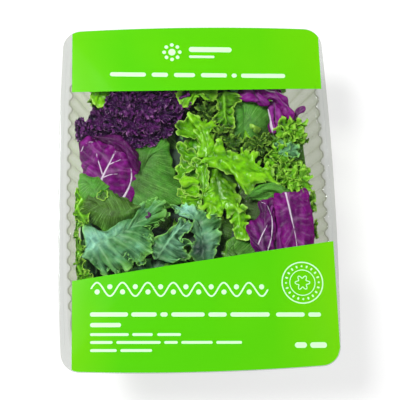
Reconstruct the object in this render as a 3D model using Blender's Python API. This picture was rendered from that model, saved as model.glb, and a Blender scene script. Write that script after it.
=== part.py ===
"""Box of salad leaves: a clear thermoformed tray with fluted side walls and a
flat sealing flange, a heap of mixed leaves inside it, and a printed film that
is heat-sealed over the top.

Blender 4.5.  Units are metres, +Z is up.  The origin is the middle of the
tray's underside, +Y runs along the tray's long side and +X across it.
"""
import math

import bmesh
import bpy

# ----------------------------------------------------------------------------
# Driving dimensions (metres)
# ----------------------------------------------------------------------------
# Flange, seen from above: a rectangle with slightly bowed sides.
HALF_W = 0.0890            # half width at the middle of the long sides
HALF_L = 0.1140            # half length at the middle of the short sides
BOW_X = 0.0031             # how far the long sides bow out
BOW_Y = 0.0026             # how far the short sides bow out
FLANGE_R = 0.0123          # corner radius of the flange
TRAY_H = 0.0600            # height of the flange's top face above the table
WALL = 0.0005              # thickness of the thermoformed sheet

# Cavity: its mouth inside the flange, and its foot on the table.
MOUTH_IN = 0.0070          # flange width, outline to mean mouth line
MOUTH_R = 0.0240           # corner radius of the cavity at its mouth
FOOT_IN = 0.0172           # outline to the wall just above the base radius
FOOT_R = 0.0180            # corner radius of the cavity at its foot
BASE_R = 0.0042            # radius between wall and base
LIP_R = 0.0012             # radius between wall and flange

# Flutes: upright half-round channels that stiffen the walls.
FLUTES_LONG = 16           # on each long side
FLUTES_SHORT = 11          # on each short side
FLUTE_SPAN_LONG = 0.0760   # they reach this far either side of the middle
FLUTE_SPAN_SHORT = 0.0500
FLUTE_TOP = 0.0026         # depth of a flute at the mouth, crest to land
FLUTE_FOOT = 0.0012        # the same just above the base radius
# One flute: position along the pitch and share of its full depth.
FLUTE_SHAPE = ((0.10, -0.42), (0.29, 0.36), (0.50, 0.58),
               (0.71, 0.36), (0.90, -0.42))
CORNER_STEPS = 5

# Heap of leaves
HEAP_GAP = 0.0008          # clearance to the tray, all round and below
HEAP_FLOOR = WALL + HEAP_GAP
HEAP_TOP = 0.0555          # mean height of the heap's top
HEAP_N = 60                # points round the heap
HEAP_RINGS = 8             # rings across its top

# Film
FILM_GAP = 0.0003          # seal line, left open between the two solids
FILM_T = 0.0004
FILM_RISE = 0.0013         # how far the film swells above the flange
FILM_N = 12                # points on each quarter of its outline
FILM_RINGS = 4


# ----------------------------------------------------------------------------
# Outline of the tray: four bowed sides joined by round corners
# ----------------------------------------------------------------------------
def bowed_corner(a, b, r):
    """Side arcs and the corner arc that touches both, in the first quadrant.

    Returns the side arcs' radii and centres, the corner's centre, and the
    angles where the corner leaves the long and the short side."""
    rx = (b * b + BOW_X * BOW_X) / (2.0 * BOW_X)
    ry = (a * a + BOW_Y * BOW_Y) / (2.0 * BOW_Y)
    cx, cy = a - rx, b - ry
    x, y = a - r, b - r
    for _ in range(40):
        d1 = math.hypot(x - cx, y)
        d2 = math.hypot(x, y - cy)
        f1, f2 = d1 - (rx - r), d2 - (ry - r)
        j11, j12 = (x - cx) / d1, y / d1
        j21, j22 = x / d2, (y - cy) / d2
        det = j11 * j22 - j12 * j21
        x -= (f1 * j22 - f2 * j12) / det
        y -= (j11 * f2 - j21 * f1) / det
    return rx, ry, cx, cy, (x, y), math.atan2(y, x - cx), math.atan2(y - cy, x)


def flute_marks(count, span):
    """Positions along one side, from -span to span, with the flute's share."""
    pitch = 2.0 * span / count
    marks = []
    for i in range(count):
        for t, share in FLUTE_SHAPE:
            marks.append((-span + (i + t) * pitch, share))
    return marks


LONG_MARKS = flute_marks(FLUTES_LONG, FLUTE_SPAN_LONG)
SHORT_MARKS = flute_marks(FLUTES_SHORT, FLUTE_SPAN_SHORT)


def tray_ring(inset, r, flute=0.0):
    """One level of the tray, counter-clockwise, with the flutes cut in."""
    a, b = HALF_W - inset, HALF_L - inset
    rx, ry, cx, cy, (qx, qy), t1, t2 = bowed_corner(a, b, r)

    def corner(sx, sy, start, stop):
        pts = []
        for k in range(CORNER_STEPS + 1):
            t = start + (stop - start) * k / CORNER_STEPS
            pts.append((sx * (qx + r * math.cos(t)), sy * (qy + r * math.sin(t))))
        return pts

    pts = []
    # right side, upwards
    for y, share in LONG_MARKS:
        t = math.asin(y / rx)
        rad = rx + flute * share
        pts.append((cx + rad * math.cos(t), rad * math.sin(t)))
    pts += corner(1, 1, t1, t2)
    # far side, towards -X
    for x, share in reversed(SHORT_MARKS):
        t = math.asin(x / ry)
        rad = ry + flute * share
        pts.append((rad * math.sin(t), cy + rad * math.cos(t)))
    pts += corner(-1, 1, t2, t1)
    # left side, downwards
    for y, share in reversed(LONG_MARKS):
        t = math.asin(y / rx)
        rad = rx + flute * share
        pts.append((-(cx + rad * math.cos(t)), rad * math.sin(t)))
    pts += corner(-1, -1, t1, t2)
    # near side, towards +X
    for x, share in SHORT_MARKS:
        t = math.asin(x / ry)
        rad = ry + flute * share
        pts.append((rad * math.sin(t), -(cy + rad * math.cos(t))))
    pts += corner(1, -1, t2, t1)
    return pts


def plain_ring(inset, r, per_quarter):
    """The same outline without flutes, evenly stepped by angle and side."""
    a, b = HALF_W - inset, HALF_L - inset
    rx, ry, cx, cy, (qx, qy), t1, t2 = bowed_corner(a, b, r)
    side = max(2, per_quarter * 2 // 5)
    turn = per_quarter - 2 * side
    quarter = []
    for k in range(side):
        t = t1 * k / side
        quarter.append((cx + rx * math.cos(t), rx * math.sin(t)))
    for k in range(turn):
        t = t1 + (t2 - t1) * k / turn
        quarter.append((qx + r * math.cos(t), qy + r * math.sin(t)))
    for k in range(side):
        t = t2 + (math.pi / 2 - t2) * k / side
        quarter.append((ry * math.cos(t), cy + ry * math.sin(t)))
    # quarters 2 to 4 by symmetry; each starts where the one before ends
    n = len(quarter)
    end = (0.0, b)
    q1 = quarter + [end]
    q2 = [(-x, y) for x, y in reversed(q1)]
    q3 = [(-x, -y) for x, y in q1]
    q4 = [(x, -y) for x, y in reversed(q1)]
    return q1[:n] + q2[:n] + q3[:n] + q4[:n]


# ----------------------------------------------------------------------------
# Mesh helpers
# ----------------------------------------------------------------------------
def material(name, rgb, roughness, alpha=1.0, transmission=0.0, ior=1.5):
    mat = bpy.data.materials.new(name)
    mat.use_nodes = True
    bsdf = mat.node_tree.nodes["Principled BSDF"]
    bsdf.inputs["Base Color"].default_value = (*rgb, 1.0)
    bsdf.inputs["Roughness"].default_value = roughness
    bsdf.inputs["Metallic"].default_value = 0.0
    bsdf.inputs["IOR"].default_value = ior
    bsdf.inputs["Alpha"].default_value = alpha
    bsdf.inputs["Transmission Weight"].default_value = transmission
    mat.diffuse_color = (*rgb, alpha)
    return mat


def loft(name, rings, mat, sharp_deg=35.0):
    """Bridge rings of equal count in order, and close both ends with a fan."""
    bm = bmesh.new()
    loops = [[bm.verts.new(p) for p in ring] for ring in rings]
    n = len(loops[0])
    for lower, upper in zip(loops, loops[1:]):
        for i in range(n):
            j = (i + 1) % n
            bm.faces.new((lower[i], lower[j], upper[j], upper[i]))
    for loop, flip in ((loops[0], True), (loops[-1], False)):
        mid = bm.verts.new((sum(v.co.x for v in loop) / n,
                            sum(v.co.y for v in loop) / n,
                            sum(v.co.z for v in loop) / n))
        for i in range(n):
            j = (i + 1) % n
            tri = (mid, loop[j], loop[i]) if flip else (mid, loop[i], loop[j])
            bm.faces.new(tri)
    bmesh.ops.recalc_face_normals(bm, faces=bm.faces)
    mesh = bpy.data.meshes.new(name)
    bm.to_mesh(mesh)
    bm.free()
    mesh.shade_smooth()
    mesh.set_sharp_from_angle(angle=math.radians(sharp_deg))
    mesh.materials.append(mat)
    obj = bpy.data.objects.new(name, mesh)
    bpy.context.scene.collection.objects.link(obj)
    return obj


def at_z(ring, z):
    return [(x, y, z) for x, y in ring]


# ----------------------------------------------------------------------------
# Tray: underside, round the flange's edge, and down the inside again
# ----------------------------------------------------------------------------
def make_tray():
    clear = material("clear_pet", (0.86, 0.88, 0.86), 0.06, alpha=0.35, ior=1.57)
    foot = FOOT_IN
    c45 = 1.0 - math.sqrt(0.5)
    levels = [
        # inset,                       corner r,        flute depth, z
        (foot + BASE_R,                FOOT_R - 0.004,  0.0,         0.0),
        (foot + BASE_R * c45,          FOOT_R - 0.001,  0.4 * FLUTE_FOOT, BASE_R * c45),
        (foot,                         FOOT_R,          FLUTE_FOOT,  BASE_R),
        (MOUTH_IN + LIP_R * 0.8,       MOUTH_R,         FLUTE_TOP,   TRAY_H - WALL - LIP_R),
        (MOUTH_IN - 0.0002,            MOUTH_R,         FLUTE_TOP,   TRAY_H - WALL),
        (0.0,                          FLANGE_R,        0.0,         TRAY_H - WALL),
        (0.0,                          FLANGE_R,        0.0,         TRAY_H),
        (MOUTH_IN + WALL * 0.6,        MOUTH_R,         FLUTE_TOP,   TRAY_H),
        (MOUTH_IN + LIP_R * 0.8 + WALL, MOUTH_R,        FLUTE_TOP,   TRAY_H - LIP_R),
        (foot + WALL,                  FOOT_R,          FLUTE_FOOT,  BASE_R + 0.3 * WALL),
        (foot + WALL + BASE_R * c45,   FOOT_R - 0.001,  0.4 * FLUTE_FOOT, WALL + BASE_R * c45),
        (foot + BASE_R + 0.3 * WALL,   FOOT_R - 0.004,  0.0,         WALL),
    ]
    rings = [at_z(tray_ring(inset, r, flute), z) for inset, r, flute, z in levels]
    return loft("tray", rings, clear)


# ----------------------------------------------------------------------------
# Heap of leaves: one lumpy solid that fills the tray and sinks at its edges
# ----------------------------------------------------------------------------
def bump(x, y, x0, y0, wx, wy):
    return math.exp(-((x - x0) / wx) ** 2 - ((y - y0) / wy) ** 2)


def heap_top(x, y):
    """Height of the leaves at a point: crests where big leaves ride up, and
    hollows between them."""
    z = HEAP_TOP
    z += 0.0024 * bump(x, y, -0.052, 0.056, 0.026, 0.018)    # dark ruffled leaf
    z += 0.0020 * bump(x, y, -0.060, 0.018, 0.018, 0.020)    # red leaf, left
    z += 0.0026 * bump(x, y, 0.012, 0.028, 0.034, 0.020)     # pale ruffled leaf
    z += 0.0020 * bump(x, y, -0.052, -0.033, 0.026, 0.018)   # frilly leaf
    z += 0.0022 * bump(x, y, 0.060, -0.018, 0.018, 0.020)    # red leaf, right
    z += 0.0016 * bump(x, y, 0.062, 0.034, 0.014, 0.020)     # curled leaf
    z -= 0.0100 * bump(x, y, 0.010, -0.048, 0.030, 0.012)    # hollow
    z -= 0.0060 * bump(x, y, -0.006, 0.048, 0.012, 0.010)    # hollow
    z += 0.0012 * math.sin(x * 210.0 + 1.3) * math.sin(y * 190.0 + 0.4)
    return z


def heap_edge(t, z):
    """How far the leaves stand back from the tray's wall, at angle t."""
    back = 0.0016 + 0.0011 * math.sin(9.0 * t + 0.6) + 0.0008 * math.sin(17.0 * t + 2.1)
    # a clear corner at far left, and the leaves draw in towards the mouth
    back += 0.010 * math.exp(-((t - 2.28) / 0.16) ** 2)
    high = max(0.0, (z - 0.030) / 0.022)
    return max(HEAP_GAP, back) + 0.0042 * high * high


def make_heap():
    green = material("leaf_green", (0.16, 0.36, 0.07), 0.5)
    slope = (FOOT_IN - MOUTH_IN) / (TRAY_H - LIP_R - BASE_R)
    # the leaves lie inside the narrowest line of the flutes
    land = 0.5 * FLUTE_TOP + WALL

    def outline_at(z, extra):
        inset = FOOT_IN - slope * max(0.0, z - BASE_R) + land + extra
        if z < BASE_R:
            s = 1.0 - max(0.0, z) / BASE_R
            inset += BASE_R * (1.0 - math.sqrt(max(0.0, 1.0 - s * s)))
        return plain_ring(inset, FOOT_R - 0.002, HEAP_N // 4)

    def level(z):
        base = outline_at(z, 0.0)
        ring = []
        for x, y in base:
            t = math.atan2(y, x)
            d = math.hypot(x, y)
            k = (d - heap_edge(t, z)) / d
            ring.append((x * k, y * k, z))
        return ring

    rings = []
    low = level(0.0090)
    floor = [(x * 0.925, y * 0.945, HEAP_FLOOR) for x, y, _ in low]
    rings.append(floor)
    rings.append([(x * 0.985, y * 0.988, 0.0042) for x, y, _ in low])
    for z in (0.0120, 0.0250, 0.0370):
        rings.append(level(z))
    shoulder = level(0.0460)
    # the shoulder's height wanders: leaves lap up the wall here and there
    wavy = []
    for x, y, z in shoulder:
        t = math.atan2(y, x)
        wavy.append((x, y, z + 0.0014 * math.sin(7.0 * t + 1.0)
                     + 0.0010 * math.sin(13.0 * t)
                     - 0.0070 * math.exp(-((t - 2.28) / 0.22) ** 2)))
    rings.append(wavy)
    for k in range(1, HEAP_RINGS + 1):
        s = 1.0 - 0.118 * k
        # the top rolls over from the shoulder to the crests
        u = min(1.0, k / 3.0)
        roll = math.sin(u * math.pi / 2.0)
        ring = []
        for x, y, z in wavy:
            px, py = x * s, y * s
            ring.append((px, py, z + (heap_top(px, py) - z) * roll))
        rings.append(ring)
    return loft("salad", rings, green, 50.0)


# ----------------------------------------------------------------------------
# Film: a thin sheet sealed to the flange, swollen a little over the leaves
# ----------------------------------------------------------------------------
def make_film():
    print_green = material("printed_film", (0.21, 0.72, 0.01), 0.25)
    z0 = TRAY_H + FILM_GAP
    edge = plain_ring(0.0, FLANGE_R, FILM_N)

    def swell(s):
        """0 on the flange, rising smoothly to 1 in the middle."""
        flat = 1.0 - MOUTH_IN / HALF_W
        u = min(1.0, max(0.0, (flat - s) / flat))
        return math.sin(u * math.pi / 2.0)

    shares = [1.0, 0.915] + [0.915 * (1.0 - (k + 1) / (FILM_RINGS + 1.0))
                             for k in range(FILM_RINGS)]
    under = []
    over = []
    for s in shares:
        rise = FILM_RISE * swell(s)
        under.append([(x * s, y * s, z0 + rise) for x, y in edge])
        over.append([(x * s, y * s, z0 + FILM_T + rise) for x, y in edge])
    rings = list(reversed(under)) + over
    return loft("lid_film", rings, print_green)


def main():
    for obj in list(bpy.data.objects):
        bpy.data.objects.remove(obj, do_unlink=True)
    make_tray()
    make_heap()
    make_film()


main()
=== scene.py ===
"""Looks for the sealed tray of salad leaves: clear fluted tray, printed film,
and a heap of real leaves over a smaller core.  Lengths inside the mesh code are
in millimetres and are turned into metres when a mesh is made."""
import math

import bpy
import numpy as np
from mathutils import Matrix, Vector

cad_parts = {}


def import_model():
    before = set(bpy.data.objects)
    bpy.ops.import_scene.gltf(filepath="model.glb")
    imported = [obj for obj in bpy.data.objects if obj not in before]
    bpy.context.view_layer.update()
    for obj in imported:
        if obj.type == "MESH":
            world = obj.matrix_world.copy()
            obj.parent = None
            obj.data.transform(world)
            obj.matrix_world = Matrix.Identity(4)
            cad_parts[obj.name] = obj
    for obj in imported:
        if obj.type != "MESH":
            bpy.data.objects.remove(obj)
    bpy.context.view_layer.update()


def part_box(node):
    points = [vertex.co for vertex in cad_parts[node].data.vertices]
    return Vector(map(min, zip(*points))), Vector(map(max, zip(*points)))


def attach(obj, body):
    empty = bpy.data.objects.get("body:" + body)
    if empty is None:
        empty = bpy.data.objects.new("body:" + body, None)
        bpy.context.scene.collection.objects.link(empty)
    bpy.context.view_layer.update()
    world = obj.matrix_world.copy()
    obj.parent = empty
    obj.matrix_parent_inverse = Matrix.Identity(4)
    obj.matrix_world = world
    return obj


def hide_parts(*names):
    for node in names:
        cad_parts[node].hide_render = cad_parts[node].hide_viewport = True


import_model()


MM = 0.001

tray_lo, tray_hi = [np.array(p, float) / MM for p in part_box("tray")]
film_lo, film_hi = [np.array(p, float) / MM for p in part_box("lid_film")]
HALF_W = float(tray_hi[0] - tray_lo[0]) / 2.0
HALF_L = float(tray_hi[1] - tray_lo[1]) / 2.0
TRAY_H = float(tray_hi[2])
FILM_Z = float(film_lo[2])

# The tray's own shape, as in the CAD
BOW_X, BOW_Y, FLANGE_R = 3.1, 2.6, 12.3
WALL = 0.5
MOUTH_IN, MOUTH_R = 7.0, 24.0
FOOT_IN, FOOT_R = 17.2, 18.0
BASE_R, LIP_R = 4.2, 1.2
FLUTES_LONG, FLUTES_SHORT = 16, 11
SPAN_LONG, SPAN_SHORT = 76.0, 50.0
FLUTE_TOP, FLUTE_FOOT = 1.9, 1.1

scene = bpy.context.scene
scene.view_settings.view_transform = "Standard"
scene.view_settings.look = "None"
scene.cycles.transparent_max_bounces = 24

# ----------------------------------------------------------------------------
# Camera: above the pack, a little nearer its +Y-less end, slightly turned
# ----------------------------------------------------------------------------


def make_camera():
    az, el, roll = [math.radians(v) for v in (-10.356, 76.761, 9.003)]
    back = np.array([math.sin(az) * math.cos(el), -math.cos(az) * math.cos(el), math.sin(el)])
    right = np.array([math.cos(az), math.sin(az), 0.0])
    up = np.cross(back, right)
    c, s = math.cos(roll), math.sin(roll)
    right, up = c * right + s * up, -s * right + c * up
    place = np.array([1.619, -5.544, 61.0]) + back * 547.628
    cam = bpy.data.cameras.new("camera")
    cam.lens = 76.92
    cam.sensor_width = 36.0
    cam.clip_start = 0.01
    obj = bpy.data.objects.new("camera", cam)
    scene.collection.objects.link(obj)
    from mathutils import Matrix
    m = Matrix.Identity(4)
    for i in range(3):
        m[i][0], m[i][1], m[i][2] = right[i], up[i], back[i]
        m[i][3] = place[i] * MM
    obj.matrix_world = m
    scene.camera = obj


make_camera()

# ----------------------------------------------------------------------------
# Smooth noise on numpy arrays
# ----------------------------------------------------------------------------
_r = np.random.RandomState(11)
PERM = _r.permutation(256)
GRAD = _r.normal(size=(256, 3))
GRAD /= np.linalg.norm(GRAD, axis=1)[:, None]


def noise(p, seed=0):
    """Gradient noise, about -1 to 1, at points p of shape (..., 3)."""
    p = np.asarray(p, float) + (seed * 7.13 % 97.0)
    i = np.floor(p).astype(np.int64)
    f = p - i
    u = f * f * f * (f * (f * 6.0 - 15.0) + 10.0)
    out = 0.0
    for dx in (0, 1):
        kx = PERM[(i[..., 0] + dx) & 255]
        wx = u[..., 0] if dx else 1.0 - u[..., 0]
        for dy in (0, 1):
            ky = PERM[(kx + i[..., 1] + dy) & 255]
            wy = u[..., 1] if dy else 1.0 - u[..., 1]
            for dz in (0, 1):
                kz = PERM[(ky + i[..., 2] + dz) & 255]
                wz = u[..., 2] if dz else 1.0 - u[..., 2]
                d = GRAD[kz]
                dot = (d[..., 0] * (f[..., 0] - dx) + d[..., 1] * (f[..., 1] - dy)
                       + d[..., 2] * (f[..., 2] - dz))
                out = out + wx * wy * wz * dot
    return out * 1.7


def noise1(s, seed=0, row=0.37):
    s = np.asarray(s, float)
    return noise(np.stack([s, np.full_like(s, row), np.full_like(s, 0.71)], -1), seed)


def smooth(x, lo=0.0, hi=1.0):
    t = np.clip((np.asarray(x, float) - lo) / (hi - lo), 0.0, 1.0)
    return t * t * (3.0 - 2.0 * t)


# ----------------------------------------------------------------------------
# Mesh making
# ----------------------------------------------------------------------------
class Build:
    """Gathers quads from many shapes, and makes one object of them."""

    def __init__(self):
        self.v, self.f, self.uv, self.at, self.n = [], [], [], {}, 0
        self.islands = []

    def add(self, verts, quads, uv=None, **attrs):
        verts = np.asarray(verts, float)
        quads = np.asarray(quads, np.int64)
        self.v.append(verts)
        self.f.append(quads + self.n)
        self.n += len(verts)
        if uv is not None:
            self.uv.append(np.asarray(uv, float))
        for k, a in attrs.items():
            self.at.setdefault(k, []).append(np.asarray(a, float))

    def triangles(self):
        return 2 * sum(len(f) for f in self.f)

    def make(self, name, material, atlas=None, sharp=None):
        v = np.concatenate(self.v) * MM
        f = np.concatenate(self.f)
        me = bpy.data.meshes.new(name)
        me.vertices.add(len(v))
        me.vertices.foreach_set("co", v.astype(np.float32).ravel())
        me.loops.add(len(f) * 4)
        me.loops.foreach_set("vertex_index", f.astype(np.int32).ravel())
        me.polygons.add(len(f))
        me.polygons.foreach_set("loop_start", (np.arange(len(f)) * 4).astype(np.int32))
        me.polygons.foreach_set("use_smooth", np.ones(len(f), bool))
        for k, parts in self.at.items():
            a = np.concatenate(parts)
            if a.ndim == 1:
                layer = me.attributes.new(k, "FLOAT", "POINT")
                layer.data.foreach_set("value", a.astype(np.float32))
            else:
                layer = me.attributes.new(k, "FLOAT_VECTOR", "POINT")
                layer.data.foreach_set("vector", a.astype(np.float32).ravel())
        if self.uv:
            uv = np.concatenate(self.uv)
            layer = me.uv_layers.new(name="OFBake")
            layer.data.foreach_set("uv", uv.astype(np.float32).ravel())
        me.update(calc_edges=True)
        me.validate(verbose=False)
        if sharp is not None:
            me.set_sharp_from_angle(angle=math.radians(sharp))
        me.materials.append(material)
        obj = bpy.data.objects.new(name, me)
        scene.collection.objects.link(obj)
        return obj


def shelf_pack(sizes, pad=1.5):
    """Places rectangles (w, h) on shelves of a square; returns corners and side."""
    sizes = [(w + pad, h + pad) for w, h in sizes]
    order = sorted(range(len(sizes)), key=lambda i: -sizes[i][1])
    side = max(max(w for w, _ in sizes), math.sqrt(sum(w * h for w, h in sizes)))
    while True:
        x = y = shelf = 0.0
        where = [None] * len(sizes)
        for i in order:
            w, h = sizes[i]
            if x + w > side:
                x, y, shelf = 0.0, y + shelf, 0.0
            where[i] = (x + pad / 2, y + pad / 2)
            x += w
            shelf = max(shelf, h)
        if y + shelf <= side:
            return where, side
        side *= 1.02


def grid_normals(p, wrap=False):
    """Unit normals of a grid of points (n, m, 3)."""
    if wrap:
        du = np.roll(p, -1, 0) - np.roll(p, 1, 0)
    else:
        du = np.gradient(p, axis=0)
    dv = np.gradient(p, axis=1)
    n = np.cross(du, dv)
    return n / np.maximum(np.linalg.norm(n, axis=-1, keepdims=True), 1e-9)


def curve(points, n, closed=False):
    """A smooth curve through the points, sampled n times evenly by length."""
    p = np.asarray(points, float)
    if p.shape[1] == 2:
        p = np.concatenate([p, np.zeros((len(p), 1))], 1)
    if closed:
        q = np.concatenate([p[-1:], p, p[:2]])
    else:
        q = np.concatenate([2 * p[:1] - p[1:2], p, 2 * p[-1:] - p[-2:-1]])
    out = []
    t = np.linspace(0, 1, 24, endpoint=False)[:, None]
    for a, b, c, d in zip(q, q[1:], q[2:], q[3:]):
        out.append(0.5 * (2 * b + (c - a) * t + (2 * a - 5 * b + 4 * c - d) * t * t
                          + (3 * b - a - 3 * c + d) * t ** 3))
    out.append(q[-2][None])
    out = np.concatenate(out)
    s = np.concatenate([[0], np.cumsum(np.linalg.norm(np.diff(out, axis=0), axis=1))])
    u = np.linspace(0, s[-1], n)
    return np.stack([np.interp(u, s, out[:, k]) for k in range(3)], 1)


# ----------------------------------------------------------------------------
# Room inside the pack: leaves are pressed by the film, the walls and the base
# ----------------------------------------------------------------------------
def film_under(x, y):
    """Underside of the film above a point."""
    u = np.clip(1.0 - np.maximum(np.abs(x) / (HALF_W - MOUTH_IN), np.abs(y) / (HALF_L - MOUTH_IN)), 0, 1)
    dome = 1.3 * np.sin(np.clip(u * 1.6, 0, 1) * math.pi / 2.0)
    p = np.stack([np.asarray(x, float) / 26.0, np.asarray(y, float) / 34.0, np.zeros_like(x, float)], -1)
    ripple = 0.28 * noise(p, 3) * smooth(u, 0.0, 0.25)
    return FILM_Z + 0.05 + dome * 0.9 + ripple


def press(p, gap=0.9):
    """Keeps points inside the tray and under the film, softly."""
    x, y, z = p[..., 0].copy(), p[..., 1].copy(), p[..., 2].copy()
    # walls
    zc = np.clip(z, BASE_R, TRAY_H - LIP_R)
    inset = FOOT_IN - (FOOT_IN - MOUTH_IN) * (zc - BASE_R) / (TRAY_H - LIP_R - BASE_R)
    inset = inset + 0.5 * FLUTE_TOP + WALL + 0.4
    low = np.clip((BASE_R - z) / BASE_R, 0, 1)
    inset = inset + BASE_R * (1 - np.sqrt(np.maximum(0, 1 - low * low)))
    a, b, r = HALF_W - inset, HALF_L - inset, 20.0
    qx, qy = np.abs(x) - (a - r), np.abs(y) - (b - r)
    ox, oy = np.maximum(qx, 0), np.maximum(qy, 0)
    out = np.hypot(ox, oy)
    d = np.where(out > 0, out - r, np.maximum(qx, qy) - r)
    gx = np.where(out > 1e-6, ox / np.maximum(out, 1e-6), (qx > qy).astype(float)) * np.sign(x)
    gy = np.where(out > 1e-6, oy / np.maximum(out, 1e-6), (qx <= qy).astype(float)) * np.sign(y)
    soft = 3.0
    over = d + gap + soft
    new = np.where(over > 0, -gap - soft + soft * np.tanh(over / soft), d)
    x = x + (new - d) * gx
    y = y + (new - d) * gy
    # film
    top = film_under(x, y) - 0.45
    soft = 2.4
    over = z - (top - soft)
    z = np.where(over > 0, top - soft + soft * np.tanh(over / soft), z)
    # base
    low = 1.3
    under = (low + 2.0) - z
    z = np.where(under > 0, low + 2.0 - 2.0 * np.tanh(under / 2.0), z)
    return np.stack([x, y, z], -1)


# ----------------------------------------------------------------------------
# A leaf: a fan of lines from its midrib to its margin
# ----------------------------------------------------------------------------
def spread(a, k, times=2):
    """Box blur of a grid along both its axes, with its ends held."""
    for _ in range(times):
        for axis, w in ((0, k[0]), (1, k[1])):
            w = int(max(1, w))
            pad = [(0, 0)] * a.ndim
            pad[axis] = (w + 1, w)
            c = np.cumsum(np.pad(a, pad, mode="edge"), axis=axis)
            n = a.shape[axis]
            hi = np.take(c, np.arange(n) + 2 * w + 1, axis=axis)
            lo = np.take(c, np.arange(n), axis=axis)
            a = (hi - lo) / (2 * w + 1)
    return a


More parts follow.
